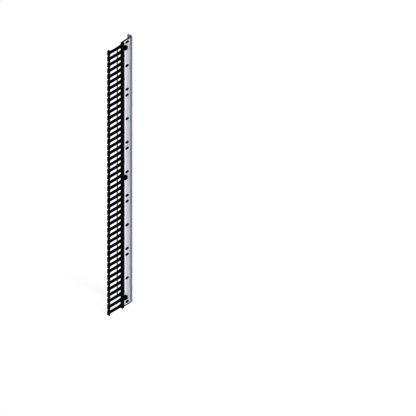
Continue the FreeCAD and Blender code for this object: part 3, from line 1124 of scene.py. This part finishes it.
    def build(self) -> None:
        """Makes the five combs and their fasteners and hands them over."""
        tree = self.tree()
        whole = self.moulding("whole_comb", tree, LAYOUT.fingers_per_comb)
        short = self.moulding("short_comb", tree, self.last_rod_step)
        fasteners = (
            ("screws", self.screw, Slot.BLACK_ZINC, "comb_screws"),
            ("clinch_nuts", self.nut, Slot.BRIGHT_ZINC, "clinch_nuts"),
        )
        for comb in range(LAYOUT.comb_count):
            number = comb + 1
            name = f"comb_{number}_moulding"
            source = short if number == LAYOUT.comb_count else whole
            moulding = copy_moved(name, source, LAYOUT.finger_z(comb, 0))
            self.dress(name, moulding, Slot.COMB, f"finger_comb_{number}")
            places = [(0, LAYOUT.boss_y, z) for z in LAYOUT.boss_heights(comb)]
            for label, unit, slot, node in fasteners:
                self.repeat(f"comb_{number}_{label}", unit(), places, slot, f"{node}_{number}")
        bpy.data.objects.remove(whole)
        bpy.data.objects.remove(short)


@dataclass
class TieRod(SubAssembly):
    """The rod through the fingers and the caps at its ends."""

    radius: float = 2.5
    bottom_z: float = 36.4
    top_z: float = 1919.4
    end_chamfer: float = 0.4
    cap_radius: float = 4.0
    cap_height: float = 4.0
    cap_wall: float = 1.0
    cap_bore: float = 2.8
    cap_chamfer: float = 0.2
    cap_round: tuple[Point2, ...] = ((1.0, 0.0), (0.5, 0.15), (0.15, 0.5), (0.0, 1.0))
    cap_seats: tuple[tuple[End, float], ...] = ((End.TOP, 1916.7), (End.BOTTOM, 39.1))

    def rod(self) -> Shape:
        """The rod, chamfered at both ends.

        Returns:
            The rod's mesh.
        """
        low, high, chamfer, radius = self.bottom_z, self.top_z, self.end_chamfer, self.radius
        foot = [(low, 0), (low, radius - chamfer), (low + chamfer, radius)]
        crown = [(high - chamfer, radius), (high, radius - chamfer), (high, 0)]
        return upright(turned([*foot, *crown], points=32))

    def cap(self, end: End, seat: float) -> Shape:
        """A push-on cap with a domed closed end.

        Args:
            end: the end of the rod that it closes.
            seat: height of the finger's face that its open end sits on.

        Returns:
            The cap's mesh.
        """
        high, radius, bore = self.cap_height, self.cap_radius, self.cap_bore
        inside, soft = high - self.cap_wall, self.cap_chamfer
        skirt = [(inside, 0), (inside, bore), (0.0, bore), (0.0, radius - soft), (soft, radius)]
        dome = [*((high - drop, radius - inset) for drop, inset in self.cap_round), (high, 0)]
        return upright(turned([(seat + end.value * rise, size) for rise, size in [*skirt, *dome]], points=32))

    def build(self) -> None:
        """Makes the rod and both caps and hands them over."""
        self.dress("tie_rod_bar", self.rod(), Slot.ROD, "tie_rod")
        for end, seat in self.cap_seats:
            label = end.name.lower()
            self.dress(f"rod_cap_{label}_dome", self.cap(end, seat), Slot.BLOCK, f"rod_cap_{label}")


@dataclass
class SidePanel(SubAssembly):
    """The folded steel panel: slotted web, rear flange and the hook ear at its top."""

    sheet: float = 1.5
    bend_steps: int = 6
    web_front_y: float = -30.3
    flange_tip_x: float = 4.0
    flange_chamfer: float = 18.0
    nut_hole: float = 3.9
    fixing_hole: float = 3.3
    ear_back_x: float = -38.0
    ear_rise: float = 18.5
    ear_drop: float = 20.0
    ear_corner: float = 10.0
    ear_tip_corner: float = 4.0
    ear_relief: float = 1.5
    edge_corner: float = 1.0
    plug_hole: float = 3.3
    hole_points: int = 32
    slot_arc_steps: int = 8
    # A little under a half, so that the two arcs of a slot's end don't meet
    slot_rounding: float = 0.4999
    edge_round: float = 0.35
    edge_round_from: float = 50.0
    # Share of X or Y in a normal from which a face counts as flat
    flat_limit: float = 0.999
    flat_degrees: float = 1.0
    # Height over the finger below where one band of the flat faces meets the next
    band_rise: float = 30.0
    join_distance: float = 0.01

    def tree(self) -> Tree:
        """Tree that fills the web's outline and leaves out a slot or a round hole at each point.

        Returns:
            The tree, which starts from the points of the slots and holes.
        """
        sizes = ("Middle Y", "Middle Z", "Width", "Height", "Slot Length", "Slot Width", "Face X")
        tree, feed, add = new_tree("perforated web", {"Float": sizes})
        web, oblong = (
            add("GeometryNodeCurvePrimitiveQuadrilateral", {"Width": feed[width], "Height": feed[height]})[0]
            for width, height in (("Width", "Height"), ("Slot Length", "Slot Width"))
        )
        middle = add("ShaderNodeCombineXYZ", {"X": feed["Middle Y"], "Y": feed["Middle Z"]})[0]
        outline = add("GeometryNodeTransform", {"Geometry": web, "Translation": middle})[0]
        half = add("ShaderNodeMath", {0: feed["Slot Width"], 1: self.slot_rounding}, operation="MULTIPLY")[0]
        rounding = {0: oblong, "Count": self.slot_arc_steps, "Limit Radius": True, "Radius": half}
        slot = add("GeometryNodeFilletCurve", rounding, mode="POLY")[0]
        round_hole = {"Resolution": self.hole_points, "Radius": 1.0}
        circle = add("GeometryNodeCurvePrimitiveCircle", round_hole)["Curve"]
        radius = add("GeometryNodeInputNamedAttribute", {"Name": "radius"}, data_type="FLOAT")["Attribute"]
        above = {"data_type": "FLOAT", "operation": "GREATER_THAN"}
        is_hole = add("FunctionNodeCompare", {0: radius, 1: 0.0}, **above)[0]
        is_slot = add("FunctionNodeBooleanMath", {0: is_hole}, operation="NOT")[0]
        outlines = [outline]
        hole_feeds = {"Selection": is_hole, "Instance": circle, "Scale": radius}
        for feeds in (hole_feeds, {"Selection": is_slot, "Instance": slot}):
            outlines.append(add("GeometryNodeInstanceOnPoints", {"Points": feed["Geometry"], **feeds})[0])
        joined = add("GeometryNodeJoinGeometry", {"Geometry": outlines})[0]
        curves = add("GeometryNodeRealizeInstances", {0: joined})[0]
        filled = add("GeometryNodeFillCurve", {"Curve": curves})[0]
        face = add("ShaderNodeCombineXYZ", {"X": feed["Face X"]})[0]
        stand = {"Geometry": filled, "Translation": face, "Rotation": (math.pi / 2, 0.0, math.pi / 2)}
        return end_tree(tree, feed, add("GeometryNodeTransform", stand)[0])

    def perforations(self) -> Piece:
        """Points of every slot and hole, with the hole's radius or 0 for a slot.

        Returns:
            An object of points, at (y, z) in its own X and Y.
        """
        places: list[Point3] = []
        for comb in range(LAYOUT.comb_count):
            places += [(LAYOUT.slot_y, z, 0.0) for z in LAYOUT.slot_heights(comb)]
            places += [(LAYOUT.boss_y, z, self.nut_hole) for z in LAYOUT.boss_heights(comb)]
        for _, fixing_z in LAYOUT.fixings:
            places.append((0.0, fixing_z, self.fixing_hole))
            places += [(y, fixing_z + z, LAYOUT.block_screw_hole) for y, z in LAYOUT.block_screw_places]
        points = points_object("perforations", [(y, z, 0.0) for y, z, _ in places])
        radius = points.data.attributes.new("radius", "FLOAT", "POINT")
        radius.data.foreach_set("value", [size * MM for _, _, size in places])
        return points

    def fold_and_flange(self) -> Shape:
        """Inner face of the bend, the flange and the hooked ear, which meets the web's rear edge.

        Returns:
            The mesh, one face thick.
        """
        bend, tip = LAYOUT.bend_radius, self.flange_tip_x
        bend_x, bend_y = LAYOUT.panel_face_x + bend, LAYOUT.fold_y - bend
        low, high = LAYOUT.panel_bottom_z, LAYOUT.panel_top_z
        shape = bmesh.new()
        columns = []
        for step in range(self.bend_steps + 1):
            turn = math.pi / 2 * step / self.bend_steps
            x, y = bend_x - bend * math.cos(turn), bend_y + bend * math.sin(turn)
            columns.append([shape.verts.new((x * MM, y * MM, z * MM)) for z in (low, high)])
        for before, after in zip(columns[:-1], columns[1:]):
            shape.faces.new((before[0], after[0], after[1], before[1])).smooth = True
        ear_foot, ear_top, hook_foot = high + self.ear_relief, high + self.ear_rise, high - self.ear_drop
        hook_x, back_x = LAYOUT.panel_back_x - self.ear_relief, self.ear_back_x
        ear, hook = (self.ear_corner, 6), (self.ear_tip_corner, 4)
        path = [
            (bend_x, low),
            (tip - self.flange_chamfer, low),
            (tip, low + self.flange_chamfer),
            (tip, ear_top, *ear),
            (back_x, ear_top, *ear),
            (back_x, hook_foot, *hook),
            (hook_x, hook_foot, *hook),
            (hook_x, ear_foot, self.edge_corner, 3),
            (bend_x, ear_foot),
            (bend_x, high),
        ]
        turns = [2 * math.pi * step / self.hole_points for step in range(self.hole_points)]
        spokes = [(self.plug_hole * math.cos(turn), self.plug_hole * math.sin(turn)) for turn in turns]
        hole = [(LAYOUT.plug_x + x, LAYOUT.plug_z + z) for x, z in spokes]
        edges = []
        for points in (rounded_path(path), hole):
            loop = [shape.verts.new((x * MM, LAYOUT.fold_y * MM, z * MM)) for x, z in points]
            edges += [shape.edges.new((loop[index - 1], loop[index])) for index in range(len(loop))]
        bmesh.ops.triangle_fill(shape, use_beauty=True, use_dissolve=False, edges=edges)
        return shape

    def redraw_faces(self, shape: Shape) -> None:
        """Joins the flat faces' triangles and parts them in one band to a finger, with no slivers.

        Args:
            shape: the panel's mesh, one face thick.
        """
        bmesh.ops.remove_doubles(shape, verts=shape.verts, dist=self.join_distance * MM)
        limit = math.radians(self.flat_degrees)
        bmesh.ops.dissolve_limit(shape, angle_limit=limit, verts=shape.verts, edges=shape.edges)
        for finger in range(LAYOUT.comb_count * LAYOUT.fingers_per_comb):
            level = (0, 0, (LAYOUT.finger_z(0, finger) - LAYOUT.rack_unit + self.band_rise) * MM)
            everything = [*shape.verts, *shape.edges, *shape.faces]
            bmesh.ops.bisect_plane(shape, geom=everything, plane_co=level, plane_no=(0, 0, 1))

    def build(self) -> None:
        """Makes the panel and hands it over."""
        bend_y = LAYOUT.fold_y - LAYOUT.bend_radius
        sizes = {
            "Middle Y": (self.web_front_y + bend_y) / 2,
            "Middle Z": (LAYOUT.panel_bottom_z + LAYOUT.panel_top_z) / 2,
            "Width": bend_y - self.web_front_y,
            "Height": LAYOUT.panel_top_z - LAYOUT.panel_bottom_z,
            "Slot Length": LAYOUT.slot_length,
            "Slot Width": LAYOUT.slot_width,
            "Face X": LAYOUT.panel_face_x,
        }
        inputs = {label: size * MM for label, size in sizes.items()}
        web = grow("web", self.perforations(), self.tree(), {**inputs, "Material": self.finishes[Slot.PANEL]})
        shape = self.fold_and_flange()
        shape.from_mesh(web.data)
        bpy.data.objects.remove(web)
        self.redraw_faces(shape)
        bmesh.ops.recalc_face_normals(shape, faces=shape.faces)
        if sum(face.normal.x * face.calc_area() for face in shape.faces) < 0:
            bmesh.ops.reverse_faces(shape, faces=shape.faces)
        for face in shape.faces:
            face.smooth = max(abs(face.normal.x), abs(face.normal.y)) < self.flat_limit
        mesh = bpy.data.meshes.new("panel")
        shape.to_mesh(mesh)
        shape.free()
        panel = linked("panel_sheet", mesh)
        thick = panel.modifiers.new("thickness", "SOLIDIFY")
        thick.thickness = self.sheet * MM
        thick.offset = -1.0
        thick.use_even_offset = True
        thick.use_quality_normals = True
        soft = panel.modifiers.new("edges", "BEVEL")
        soft.width = self.edge_round * MM
        soft.segments = 2
        soft.limit_method = "ANGLE"
        soft.angle_limit = math.radians(self.edge_round_from)
        self.dress("panel_sheet", panel, Slot.PANEL, "side_panel")


@dataclass
class PanelTrim(SubAssembly):
    """The grommets in the cable-tie slots, the strips on the web's two cut ends and the ear's plug."""

    lip: float = 3.0
    lip_thickness: float = 1.0
    clearance: float = 0.3
    wall: float = 1.6
    tail: float = 4.0
    barb: float = 0.8
    barb_thickness: float = 1.0
    barb_slope: float = 0.2
    tail_lead: float = 0.3
    tail_taper: float = 0.6
    rim_round: tuple[Point2, ...] = ((0.5, 0.0), (0.15, 0.25), (0.0, 0.7))
    mouth_round: tuple[Point2, ...] = ((0.0, 0.6), (0.2, 0.2), (0.6, 0.0))
    strip_wall: float = 0.8
    strip_leg: float = 5.0
    strip_inset: float = 0.5
    strip_lip: float = 0.3
    plug_head: float = 4.2
    plug_head_thickness: float = 1.5
    plug_radius: float = 3.0
    plug_end_y: float = 53.7
    plug_barb: float = 0.6
    plug_barb_thickness: float = 1.2
    plug_barb_slope: float = 0.3
    plug_tip: float = 0.5
    plug_round: tuple[Point2, ...] = ((0.0, 1.0), (0.2, 0.4), (0.6, 0.0))

    def grommet(self) -> Shape:
        """One grommet about the slot's middle: lip in front, body through the sheet, barb behind.

        Returns:
            The grommet's mesh, an oblong ring.
        """
        half, face, seat = LAYOUT.slot_width / 2, LAYOUT.panel_face_x, LAYOUT.panel_back_x
        body = half - self.clearance
        opening, barb, lip = body - self.wall, half + self.barb, half + self.lip
        back, front = seat - self.tail, face + self.lip_thickness
        lead, taper = self.tail_lead, self.tail_taper
        tail = [(back + lead, opening), (back, opening + lead), (back, body - lead), (back + taper, body)]
        thick, slope = self.barb_thickness, self.barb_slope
        catch = [(seat - thick, body), (seat - slope, barb), (seat, barb), (seat, body)]
        rim = [(face, body), (face, lip), *((front - drop, lip - inset) for drop, inset in self.rim_round)]
        mouth = [(front - drop, opening + inset) for drop, inset in self.mouth_round]
        straight = LAYOUT.slot_length - LAYOUT.slot_width
        return turned([*tail, *catch, *rim, *mouth], points=32, hollow=True, stretch=straight)

    def strip(self, end: End) -> Shape:
        """One U-shaped strip along the web's upper or lower edge.

        Args:
            end: the edge that it covers.

        Returns:
            The strip's mesh.
        """
        edge_z = LAYOUT.panel_top_z if end is End.TOP else LAYOUT.panel_bottom_z
        foot, crown = edge_z - end.value * self.strip_leg, edge_z + end.value * self.strip_wall
        face, rear, wall = LAYOUT.panel_face_x, LAYOUT.panel_back_x, self.strip_wall
        lip = (foot, self.strip_lip, 3)
        bend = (crown, wall, 5)
        outside = [(rear - wall, *lip), (rear - wall, *bend), (face + wall, *bend), (face + wall, *lip)]
        points = rounded_path([*outside, (face, *lip), (face, edge_z), (rear, edge_z), (rear, *lip)])
        near = LAYOUT.spine_rear_y + self.strip_inset
        far = LAYOUT.fold_y - LAYOUT.bend_radius - self.strip_inset
        shape = bmesh.new()
        low, high = ([shape.verts.new((x * MM, y * MM, z * MM)) for x, z in points] for y in (near, far))
        for step in range(len(points)):
            shape.faces.new((low[step - 1], low[step], high[step], high[step - 1])).smooth = True
        shape.faces.new(low)
        shape.faces.new(high[::-1])
        return shape

    def plug(self) -> Shape:
        """The ear's plug: a domed head in front, a shank through the ear and a barb behind it.

        Returns:
            The plug's mesh, with its axis along Y.
        """
        seat, back, end = LAYOUT.fold_y, LAYOUT.fold_y + SidePanel.sheet, self.plug_end_y
        front, head, shank = seat - self.plug_head_thickness, self.plug_head, self.plug_radius
        barb = shank + self.plug_barb
        tip = self.plug_tip
        crown = [(front + drop, head - inset) for drop, inset in self.plug_round]
        dome = [(front, 0), *crown, (seat, head)]
        catch = [(seat, shank), (back, shank), (back, barb), (back + self.plug_barb_slope, barb)]
        tail = [(back + self.plug_barb_thickness, shank), (end - tip, shank), (end, shank - tip), (end, 0)]
        shape = turned([*dome, *catch, *tail], points=32)
        place = Matrix.Translation(Vector((LAYOUT.plug_x, 0, LAYOUT.plug_z)) * MM)
        bmesh.ops.transform(shape, matrix=place @ Matrix.Rotation(math.pi / 2, 4, "Z"), verts=shape.verts)
        return shape

    def build(self) -> None:
        """Makes the grommets, the strips and the plug and hands them over."""
        for comb in range(LAYOUT.comb_count):
            number = comb + 1
            places = [(0, LAYOUT.slot_y, z) for z in LAYOUT.slot_heights(comb)]
            name, node = f"panel_grommets_{number}", f"slot_grommets_{number}"
            self.repeat(name, self.grommet(), places, Slot.BLOCK, node)
        for end in End:
            label = end.name.lower()
            self.dress(f"panel_strip_{label}", self.strip(end), Slot.RUBBER, f"edge_strip_{label}")
        self.dress("ear_plug_button", self.plug(), Slot.BLOCK, "ear_plug")


@dataclass
class MountingBlocks(SubAssembly):
    """The stand-off blocks, the screws that hold them and the captive screws through them."""

    width: float = 26.0
    height: float = 24.0
    corner: float = 4.0
    edge: float = 1.0
    front_wall: float = 3.0
    cavity: float = 7.0
    cavity_chamfer: float = 0.5
    bore: float = 3.3
    bore_lead: float = 0.4
    bore_past: float = 0.6
    hold_room: float = 0.3
    hold_radius: float = 1.75
    hold_head_radius: float = 3.4
    hold_head_height: float = 2.2
    # How far from the head's end, and the share of its radius there
    hold_dome: tuple[Point2, ...] = ((0.0, 0.62), (0.35, 0.86), (0.9, 0.97), (1.5, 1.0))
    hold_bite: float = 9.0
    hold_point: float = 1.2
    drive_flat: float = 1.3
    drive_depth: float = 1.2
    drive_draft: float = 0.1
    hold_tip_radius: float = 0.4
    washer_radius: float = 7.0
    washer_thickness: float = 1.2
    washer_edge: float = 0.25
    ring_bore: float = 2.6
    ring_rim: float = 6.7
    ring_thickness: float = 1.5
    ring_chamfer: float = 0.3
    thread_radius: float = 3.0
    thread_end: float = 10.0
    thread_chamfer: float = 1.0
    # Rings of points to one millimetre of thread
    thread_rows: int = 7
    neck_radius: float = 2.3
    head_radius: float = 6.5
    head_height: float = 7.0
    head_edge: float = 0.8
    slot_width: float = 1.6
    slot_depth: float = 2.0

    def block(self) -> Piece:
        """A moulded block at height 0, with its stepped bore and its two screw holes.

        Returns:
            The block.
        """
        y, z, back, wall = self.width / 2, self.height / 2, LAYOUT.panel_face_x, self.front_wall
        path = [(*place, self.corner, 6) for place in ((y, -z), (y, z), (-y, z), (-y, -z))]
        block = to_object("block", plate([path], back, 0.0, self.edge, edge_steps=4))
        wide, soft = self.cavity, self.cavity_chamfer
        behind = back - OVERSHOOT
        cavity = [(behind, 0), (behind, wide), (-wall - soft, wide), (-wall, wide - soft)]
        lead, past = self.bore_lead, self.bore_past
        bore = [(-wall, self.bore), (-lead, self.bore), (past, self.bore + lead + past), (past, 0)]
        holes = turned([*cavity, *bore], points=48)
        for hole_y, hole_z in LAYOUT.block_screw_places:
            rings = bar(behind, back + self.hold_bite + self.hold_room, LAYOUT.block_screw_hole)
            turned(rings, hole_y, hole_z, shape=holes)
        return cut(block, holes)

    def hold_screw(self) -> Shape:
        """A pan-head screw driven from behind the panel.

        Returns:
            The screw's mesh, with its axis along X.
        """
        seat, radius, flat = LAYOUT.panel_back_x, self.hold_head_radius, self.drive_flat
        head, tip = seat - self.hold_head_height, LAYOUT.panel_face_x + self.hold_bite
        floor = head + self.drive_depth
        flats = ((floor, flat - self.drive_draft), (head, flat))
        socket = [(floor, 0), *((*ring, Section.HEXAGON) for ring in flats)]
        dome = [(head + drop, radius * share) for drop, share in self.hold_dome]
        core, point = self.hold_radius, self.hold_tip_radius
        shank = [(seat, radius), (seat, core), (tip - self.hold_point, core), (tip, point), (tip, 0)]
        return turned([*socket, *dome, *shank], points=30)

    def washer(self) -> Shape:
        """A stamped washer with rolled edges, against the panel's back.

        Returns:
            The washer's mesh.
        """
        near, rim, bore, edge = LAYOUT.panel_back_x, self.washer_radius, self.bore, self.washer_edge
        far = near - self.washer_thickness
        behind = [(far + edge, bore), (far, bore + edge), (far, rim - edge), (far + edge, rim)]
        return turned([*behind, (near - edge, rim), (near, rim - edge), (near, bore)], points=48, hollow=True)

    def retaining_ring(self) -> Shape:
        """The nylon ring in the block's cavity.

        Returns:
            The ring's mesh.
        """
        back, rim, bore = LAYOUT.panel_face_x, self.ring_rim, self.ring_bore
        front, soft = back + self.ring_thickness, self.ring_chamfer
        outside = [(back, bore), (back, rim), (front - soft, rim), (front, rim - soft)]
        return turned([*outside, (front, bore + soft), (front - soft, bore)], points=48, hollow=True)

    def captive_screw(self) -> Piece:
        """An M6 screw at height 0: slotted knurled head, thin neck and a cut thread.

        Returns:
            The screw.
        """
        seat, end = LAYOUT.panel_back_x - self.washer_thickness, self.thread_end
        edge, radius = self.head_edge, self.head_radius
        head = seat - self.head_height
        knurl = [(head + edge, radius, Section.KNURL), (seat - edge, radius, Section.KNURL)]
        neck = [(seat, radius - edge), (seat, self.neck_radius), (-SMALLEST_RADIUS, self.neck_radius)]
        rings = [(head, 0), (head, radius - edge), *knurl, *neck]
        rows = int(end * self.thread_rows)
        for row in range(rows + 1):
            x = end * row / rows
            fade = max(0.0, self.thread_chamfer - (end - x))
            rings.append((x, self.thread_radius - fade, Section.THREAD))
        screw = to_object("captive_screw", turned([*rings, (end, 0)], points=60), sharp_angle=35.0)
        slot = bmesh.new()
        half, past = self.slot_width / 2, radius + OVERSHOOT
        add_box(slot, (head - OVERSHOOT, -half, -past), (head + self.slot_depth, half, past))
        return cut(screw, slot)

    def build(self) -> None:
        """Makes the pieces of all three fixings and hands them over."""
        block, screw = self.block(), self.captive_screw()
        for place, z in LAYOUT.fixings:
            name = f"block_{place}_moulding"
            self.dress(name, copy_moved(name, block, z), Slot.BLOCK, f"mounting_block_{place}")
            name = f"captive_{place}_screw"
            moved = copy_moved(name, screw, z)
            self.dress(name, moved, Slot.BLACK_ZINC, f"captive_screw_{place}", f"screw_{place}")
            here, holds = [(0, 0, z)], [(0, y, z + rise) for y, rise in LAYOUT.block_screw_places]
            name, node = f"block_{place}_screws", f"block_screws_{place}"
            self.repeat(name, self.hold_screw(), holds, Slot.BRIGHT_ZINC, node)
            name, node = f"captive_{place}_washer", f"screw_washer_{place}"
            self.repeat(name, self.washer(), here, Slot.BLACK_ZINC, node, f"washer_{place}")
            name, node = f"captive_{place}_ring", f"retaining_ring_{place}"
            self.repeat(name, self.retaining_ring(), here, Slot.NYLON, node)
        bpy.data.objects.remove(block)
        bpy.data.objects.remove(screw)


@dataclass(frozen=True)
class Lamp:
    """A soft far lamp: where it stands, seen from the object, how strong and how broad it is."""

    name: str
    direction: Point3
    strength: float
    breadth_degrees: float
    colour: str

    def place(self) -> None:
        """Adds the lamp to the scene."""
        light = bpy.data.lights.new(self.name, "SUN")
        light.energy = self.strength
        light.color = srgb(self.colour)[:3]
        light.angle = math.radians(self.breadth_degrees)
        linked(self.name, light).rotation_euler = Vector(self.direction).to_track_quat("Z", "Y").to_euler()


@dataclass
class Studio:
    """Floor, lamps, surroundings and camera."""

    floor_half: float = 40000.0
    floor_z: float = -68.85
    surroundings: str = "#FFFFFF"
    surroundings_strength: float = 0.35
    contrast: float = 0.45
    lamps: tuple[Lamp, ...] = (
        Lamp("key", (1.0, -0.05, 0.28), 2.3, 25.0, "#F0F8FF"),
        Lamp("fill", (1.0, -1.0, 0.3), 1.5, 40.0, "#FFFCF7"),
        Lamp("back", (-1.0, 0.5, 0.2), 1.2, 40.0, "#FFFFFF"),
    )
    view_from: Point3 = (0.57735, -0.57735, 0.57735)
    across: Point3 = (0.70711, 0.70711, 0.0)
    upward: Point3 = (-0.40825, 0.40825, 0.81650)
    anchor: Point3 = (-16.0, 23.7, 1911.35)
    anchor_to_middle: Point2 = (498.2, -1022.0)
    frame_width: float = 2560.7
    camera_distance: float = 8000.0

    def floor(self) -> None:
        """Lays the floor under the panel's lower end."""
        half = self.floor_half * MM
        mesh = bpy.data.meshes.new("floor")
        sides = ((-half, -half), (half, -half), (half, half), (-half, half))
        mesh.from_pydata([(x, y, self.floor_z * MM) for x, y in sides], [], [(0, 1, 2, 3)])
        mesh.materials.append(LitAcrylic().build())
        linked("floor", mesh)

    def light(self) -> None:
        """Adds the lamps and the even glow of the surroundings."""
        for lamp in self.lamps:
            lamp.place()
        world = bpy.data.worlds.new("surroundings")
        world.use_nodes = True
        world.node_tree.nodes.clear()
        feeds = {"Color": srgb(self.surroundings), "Strength": self.surroundings_strength}
        glow = add_node(world.node_tree, "ShaderNodeBackground", feeds)[0]
        add_node(world.node_tree, "ShaderNodeOutputWorld", {"Surface": glow})
        bpy.context.scene.world = world
        bpy.context.scene.view_settings.view_transform = "Standard"
        bpy.context.scene.view_settings.gamma = self.contrast

    def camera(self) -> None:
        """Stands the camera at the photograph's angle, with parallel lines of sight."""
        right, up = Vector(self.across), Vector(self.upward)
        target = Vector(self.anchor) + right * self.anchor_to_middle[0] + up * self.anchor_to_middle[1]
        data = bpy.data.cameras.new("camera")
        data.type = "ORTHO"
        data.ortho_scale = self.frame_width * MM
        data.clip_end = 4 * self.camera_distance * MM
        camera = linked("camera", data)
        camera.location = (target + Vector(self.view_from) * self.camera_distance) * MM
        camera.rotation_euler = Vector(self.view_from).to_track_quat("Z", "Y").to_euler()
        bpy.context.scene.camera = camera

    def build(self) -> None:
        """Makes the whole studio."""
        self.floor()
        self.light()
        self.camera()


def main() -> None:
    """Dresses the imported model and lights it."""
    logging.basicConfig(level=logging.INFO, format="%(name)s: %(message)s")
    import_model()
    finishes = {
        Slot.PANEL: POWDER_COAT.build(),
        Slot.COMB: COMB_NYLON.build(),
        Slot.BLOCK: BLOCK_ABS.build(),
        Slot.ROD: DRAWN_STEEL.build(),
        Slot.BLACK_ZINC: BLACK_ZINC.build(),
        Slot.BRIGHT_ZINC: BRIGHT_ZINC.build(),
        Slot.NYLON: NATURAL_NYLON.build(),
        Slot.RUBBER: EDGE_RUBBER.build(),
    }
    for sub_assembly in (FingerCombs, TieRod, SidePanel, PanelTrim, MountingBlocks):
        sub_assembly(finishes).build()
    Studio().build()


if __name__ == "__main__":
    main()
